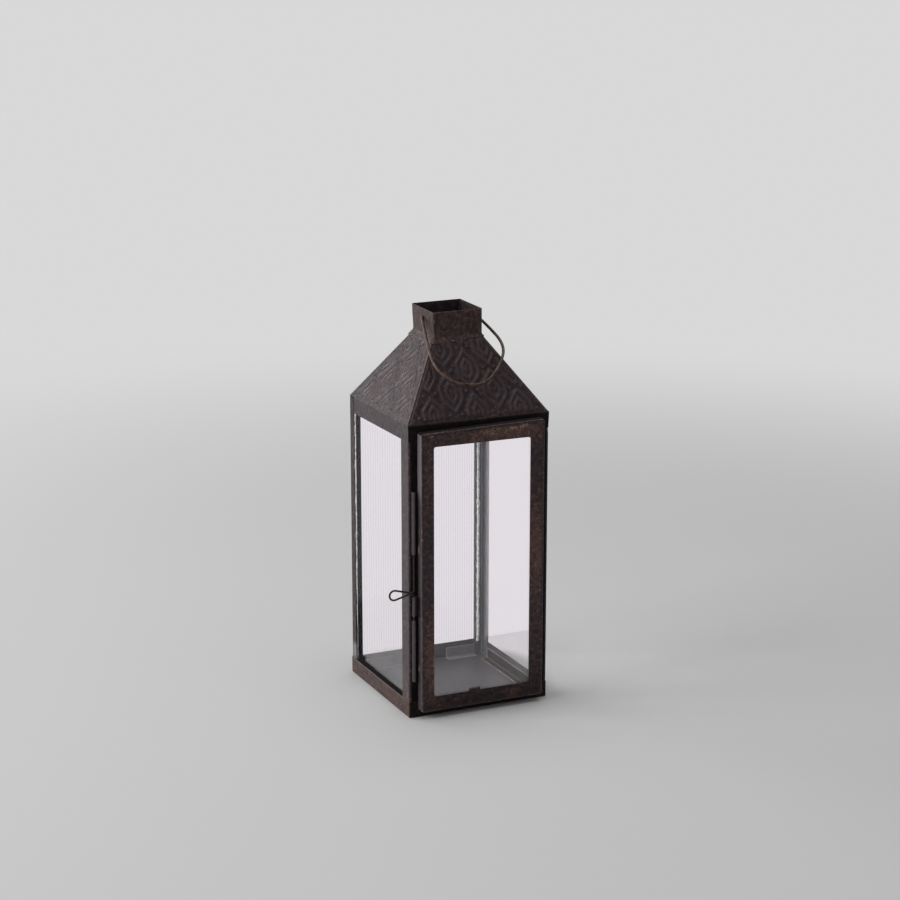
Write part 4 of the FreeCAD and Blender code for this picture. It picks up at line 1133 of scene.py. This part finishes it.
def bail(sizes):
    # its corners are cut again and again to a smooth curve, then it leans forward about its holes
    points = [(-sizes["side"], 0)] + [(a * sizes["width"], -b * sizes["drop"]) for a, b in sizes["shares"]]
    bow = cutCorners(np.array(points + [(sizes["side"], 0)]), 5)
    ends = np.array([(-sizes["inset"], -sizes["hook"]), (-sizes["inset"], 0.0)])
    flat = easedPath(np.concatenate([ends, bow, ends[::-1] * (-1, 1)]), sizes["ease"])
    lean = math.radians(sizes["angle"])
    path = gridOf(flat[:, 0], flat[:, 1] * math.sin(lean), sizes["level"] + flat[:, 1] * math.cos(lean))
    part = wirePart(path, np.array([0.0, math.cos(lean), -math.sin(lean)]), sizes["wire"] / 2, 24)
    dress(makePiece("bail", [part], [bailMaterial]), "bail", "bail")


def hingePin(sizes):
    # straight wire down the hinge's line
    low, high = nodeBox("hinge_pin")
    path = gridOf(sizes["hingeX"], sizes["line"], np.linspace(low[2], high[2], 60))
    part = wirePart(path, np.array([0.0, 1.0, 0.0]), sizes["pinRadius"])
    dress(makePiece("hingePin", [part], [latchMaterial]), "hinge_pin", "frame")


latchBolt(boltSizes)
bail(bailSizes)
hingePin(tubeSizes)
print("wires bent")


stageLook = dict(
    floor="#bfbfbf", backdrop="#d8d9d8", paintedLightThroughGlass="#e4dfe4", worldLight=0.37,
    floorRadius=40, floorLevel=-0.0003,
    # distances in metres over which the floor takes the backdrop's colour, seen directly and through glass
    fade=(0.5, 1.5), glassGlowFade=(0.085, 0.105),
    # name, place, aim, size, power
    lamps=[("keyLeft", (-2.6, 0.2, 1.5), (0, 0, 0.15), 1.8, 47), ("overhead", (0.1, 0.3, 3.0), (0, 0, 0.1), 2.4, 34),
           ("sheenLeft", (-1.5, 1.7, 0.9), (0, 0, 0.15), 1.3, 19)],
)


def rayKind(tree, name):
    return addNode(tree, "ShaderNodeLightPath", out=name)


def seenRay(tree):
    # 1 for the rays that show a backdrop: the camera's and those through glass
    return maths(tree, "MAXIMUM", rayKind(tree, "Is Camera Ray"), rayKind(tree, "Is Transmission Ray"))


def backdropColour(tree, look):
    # painted light: seen through the panes the backdrop is lighter and lilac, for the soft boxes behind the lantern
    return blend(tree, rayKind(tree, "Is Transmission Ray"), look["backdrop"], look["paintedLightThroughGlass"])


def floorDisc(look):
    # pale matt backing paper, laid flat; past the lamps' reach it takes the backdrop's colour, and seen through the
    # panes it glows with that colour close by too, painted light over the lantern's own shadow
    angle = np.linspace(0, 2 * np.pi, 96, endpoint=False)
    points = gridOf(look["floorRadius"] * np.cos(angle), look["floorRadius"] * np.sin(angle), look["floorLevel"])
    mesh = bpy.data.meshes.new("floor")
    mesh.from_pydata(points.tolist(), [], [list(range(96))])
    material, tree = newMaterial("matt backing paper")
    shader = addNode(tree, "ShaderNodeBsdfPrincipled", {
        "Base Color": look["floor"], "Roughness": 0.9, "Specular IOR Level": 0.2})
    reach = addNode(tree, "ShaderNodeVectorMath", {"operation": "LENGTH", 0: objectPlace(tree)}, "Value")
    share = maths(tree, "MULTIPLY", ramp(tree, reach, look["fade"], kind="SMOOTHSTEP"), seenRay(tree))
    # painted light: through glass the floor glows from 0.085 m out
    glassGlowShare = maths(tree, "MULTIPLY", ramp(tree, reach, look["glassGlowFade"], kind="SMOOTHSTEP"),
                       rayKind(tree, "Is Transmission Ray"))
    paper = addNode(tree, "ShaderNodeEmission", {"Strength": 1.0, "Color": backdropColour(tree, look)})
    mixed = addNode(tree, "ShaderNodeMixShader", {0: maths(tree, "MAXIMUM", share, glassGlowShare), 1: shader, 2: paper})
    addNode(tree, "ShaderNodeOutputMaterial", {"Surface": mixed})
    mesh.materials.append(material)
    disc = bpy.data.objects.new("floor", mesh)
    bpy.context.scene.collection.objects.link(disc)


def softWorld(look):
    # even light from all around, with the backdrop's colour where it is seen
    world = bpy.data.worlds.new("studio")
    bpy.context.scene.world = world
    world.use_nodes = True
    tree = world.node_tree
    tree.nodes.clear()
    light = addNode(tree, "ShaderNodeBackground", {"Color": "#ffffff", "Strength": look["worldLight"]})
    shown = addNode(tree, "ShaderNodeBackground", {"Color": backdropColour(tree, look), "Strength": 1.0})
    mixed = addNode(tree, "ShaderNodeMixShader", {0: seenRay(tree), 1: light, 2: shown})
    addNode(tree, "ShaderNodeOutputWorld", {"Surface": mixed})


def aimed(place, aim):
    # the rotation that points a lamp or a camera from its place at its aim
    return (Vector(aim) - Vector(place)).to_track_quat("-Z", "Y").to_euler()


def softLamp(name, place, aim, size, power):
    lamp = bpy.data.lights.new(name, "AREA")
    lamp.size = size
    lamp.energy = power
    holder = bpy.data.objects.new(name, lamp)
    holder.location = place
    holder.rotation_euler = aimed(place, aim)
    bpy.context.scene.collection.objects.link(holder)


floorDisc(stageLook)
softWorld(stageLook)
for lamp in stageLook["lamps"]:
    softLamp(*lamp)

cameraPlace = dict(at=(-0.68795, -1.51012, 0.60855), aim=(0.00196, -0.0009, 0.197), lens=85.68, sensor=36.0,
                   clip=(0.05, 100))
camera = bpy.data.objects.new("camera", bpy.data.cameras.new("camera"))
camera.data.lens = cameraPlace["lens"]
camera.data.sensor_width = cameraPlace["sensor"]
camera.data.clip_start, camera.data.clip_end = cameraPlace["clip"]
camera.location = cameraPlace["at"]
camera.rotation_euler = aimed(cameraPlace["at"], cameraPlace["aim"])
bpy.context.scene.collection.objects.link(camera)
bpy.context.scene.camera = camera
bpy.context.scene.view_settings.view_transform = "Standard"
print("stage lit")
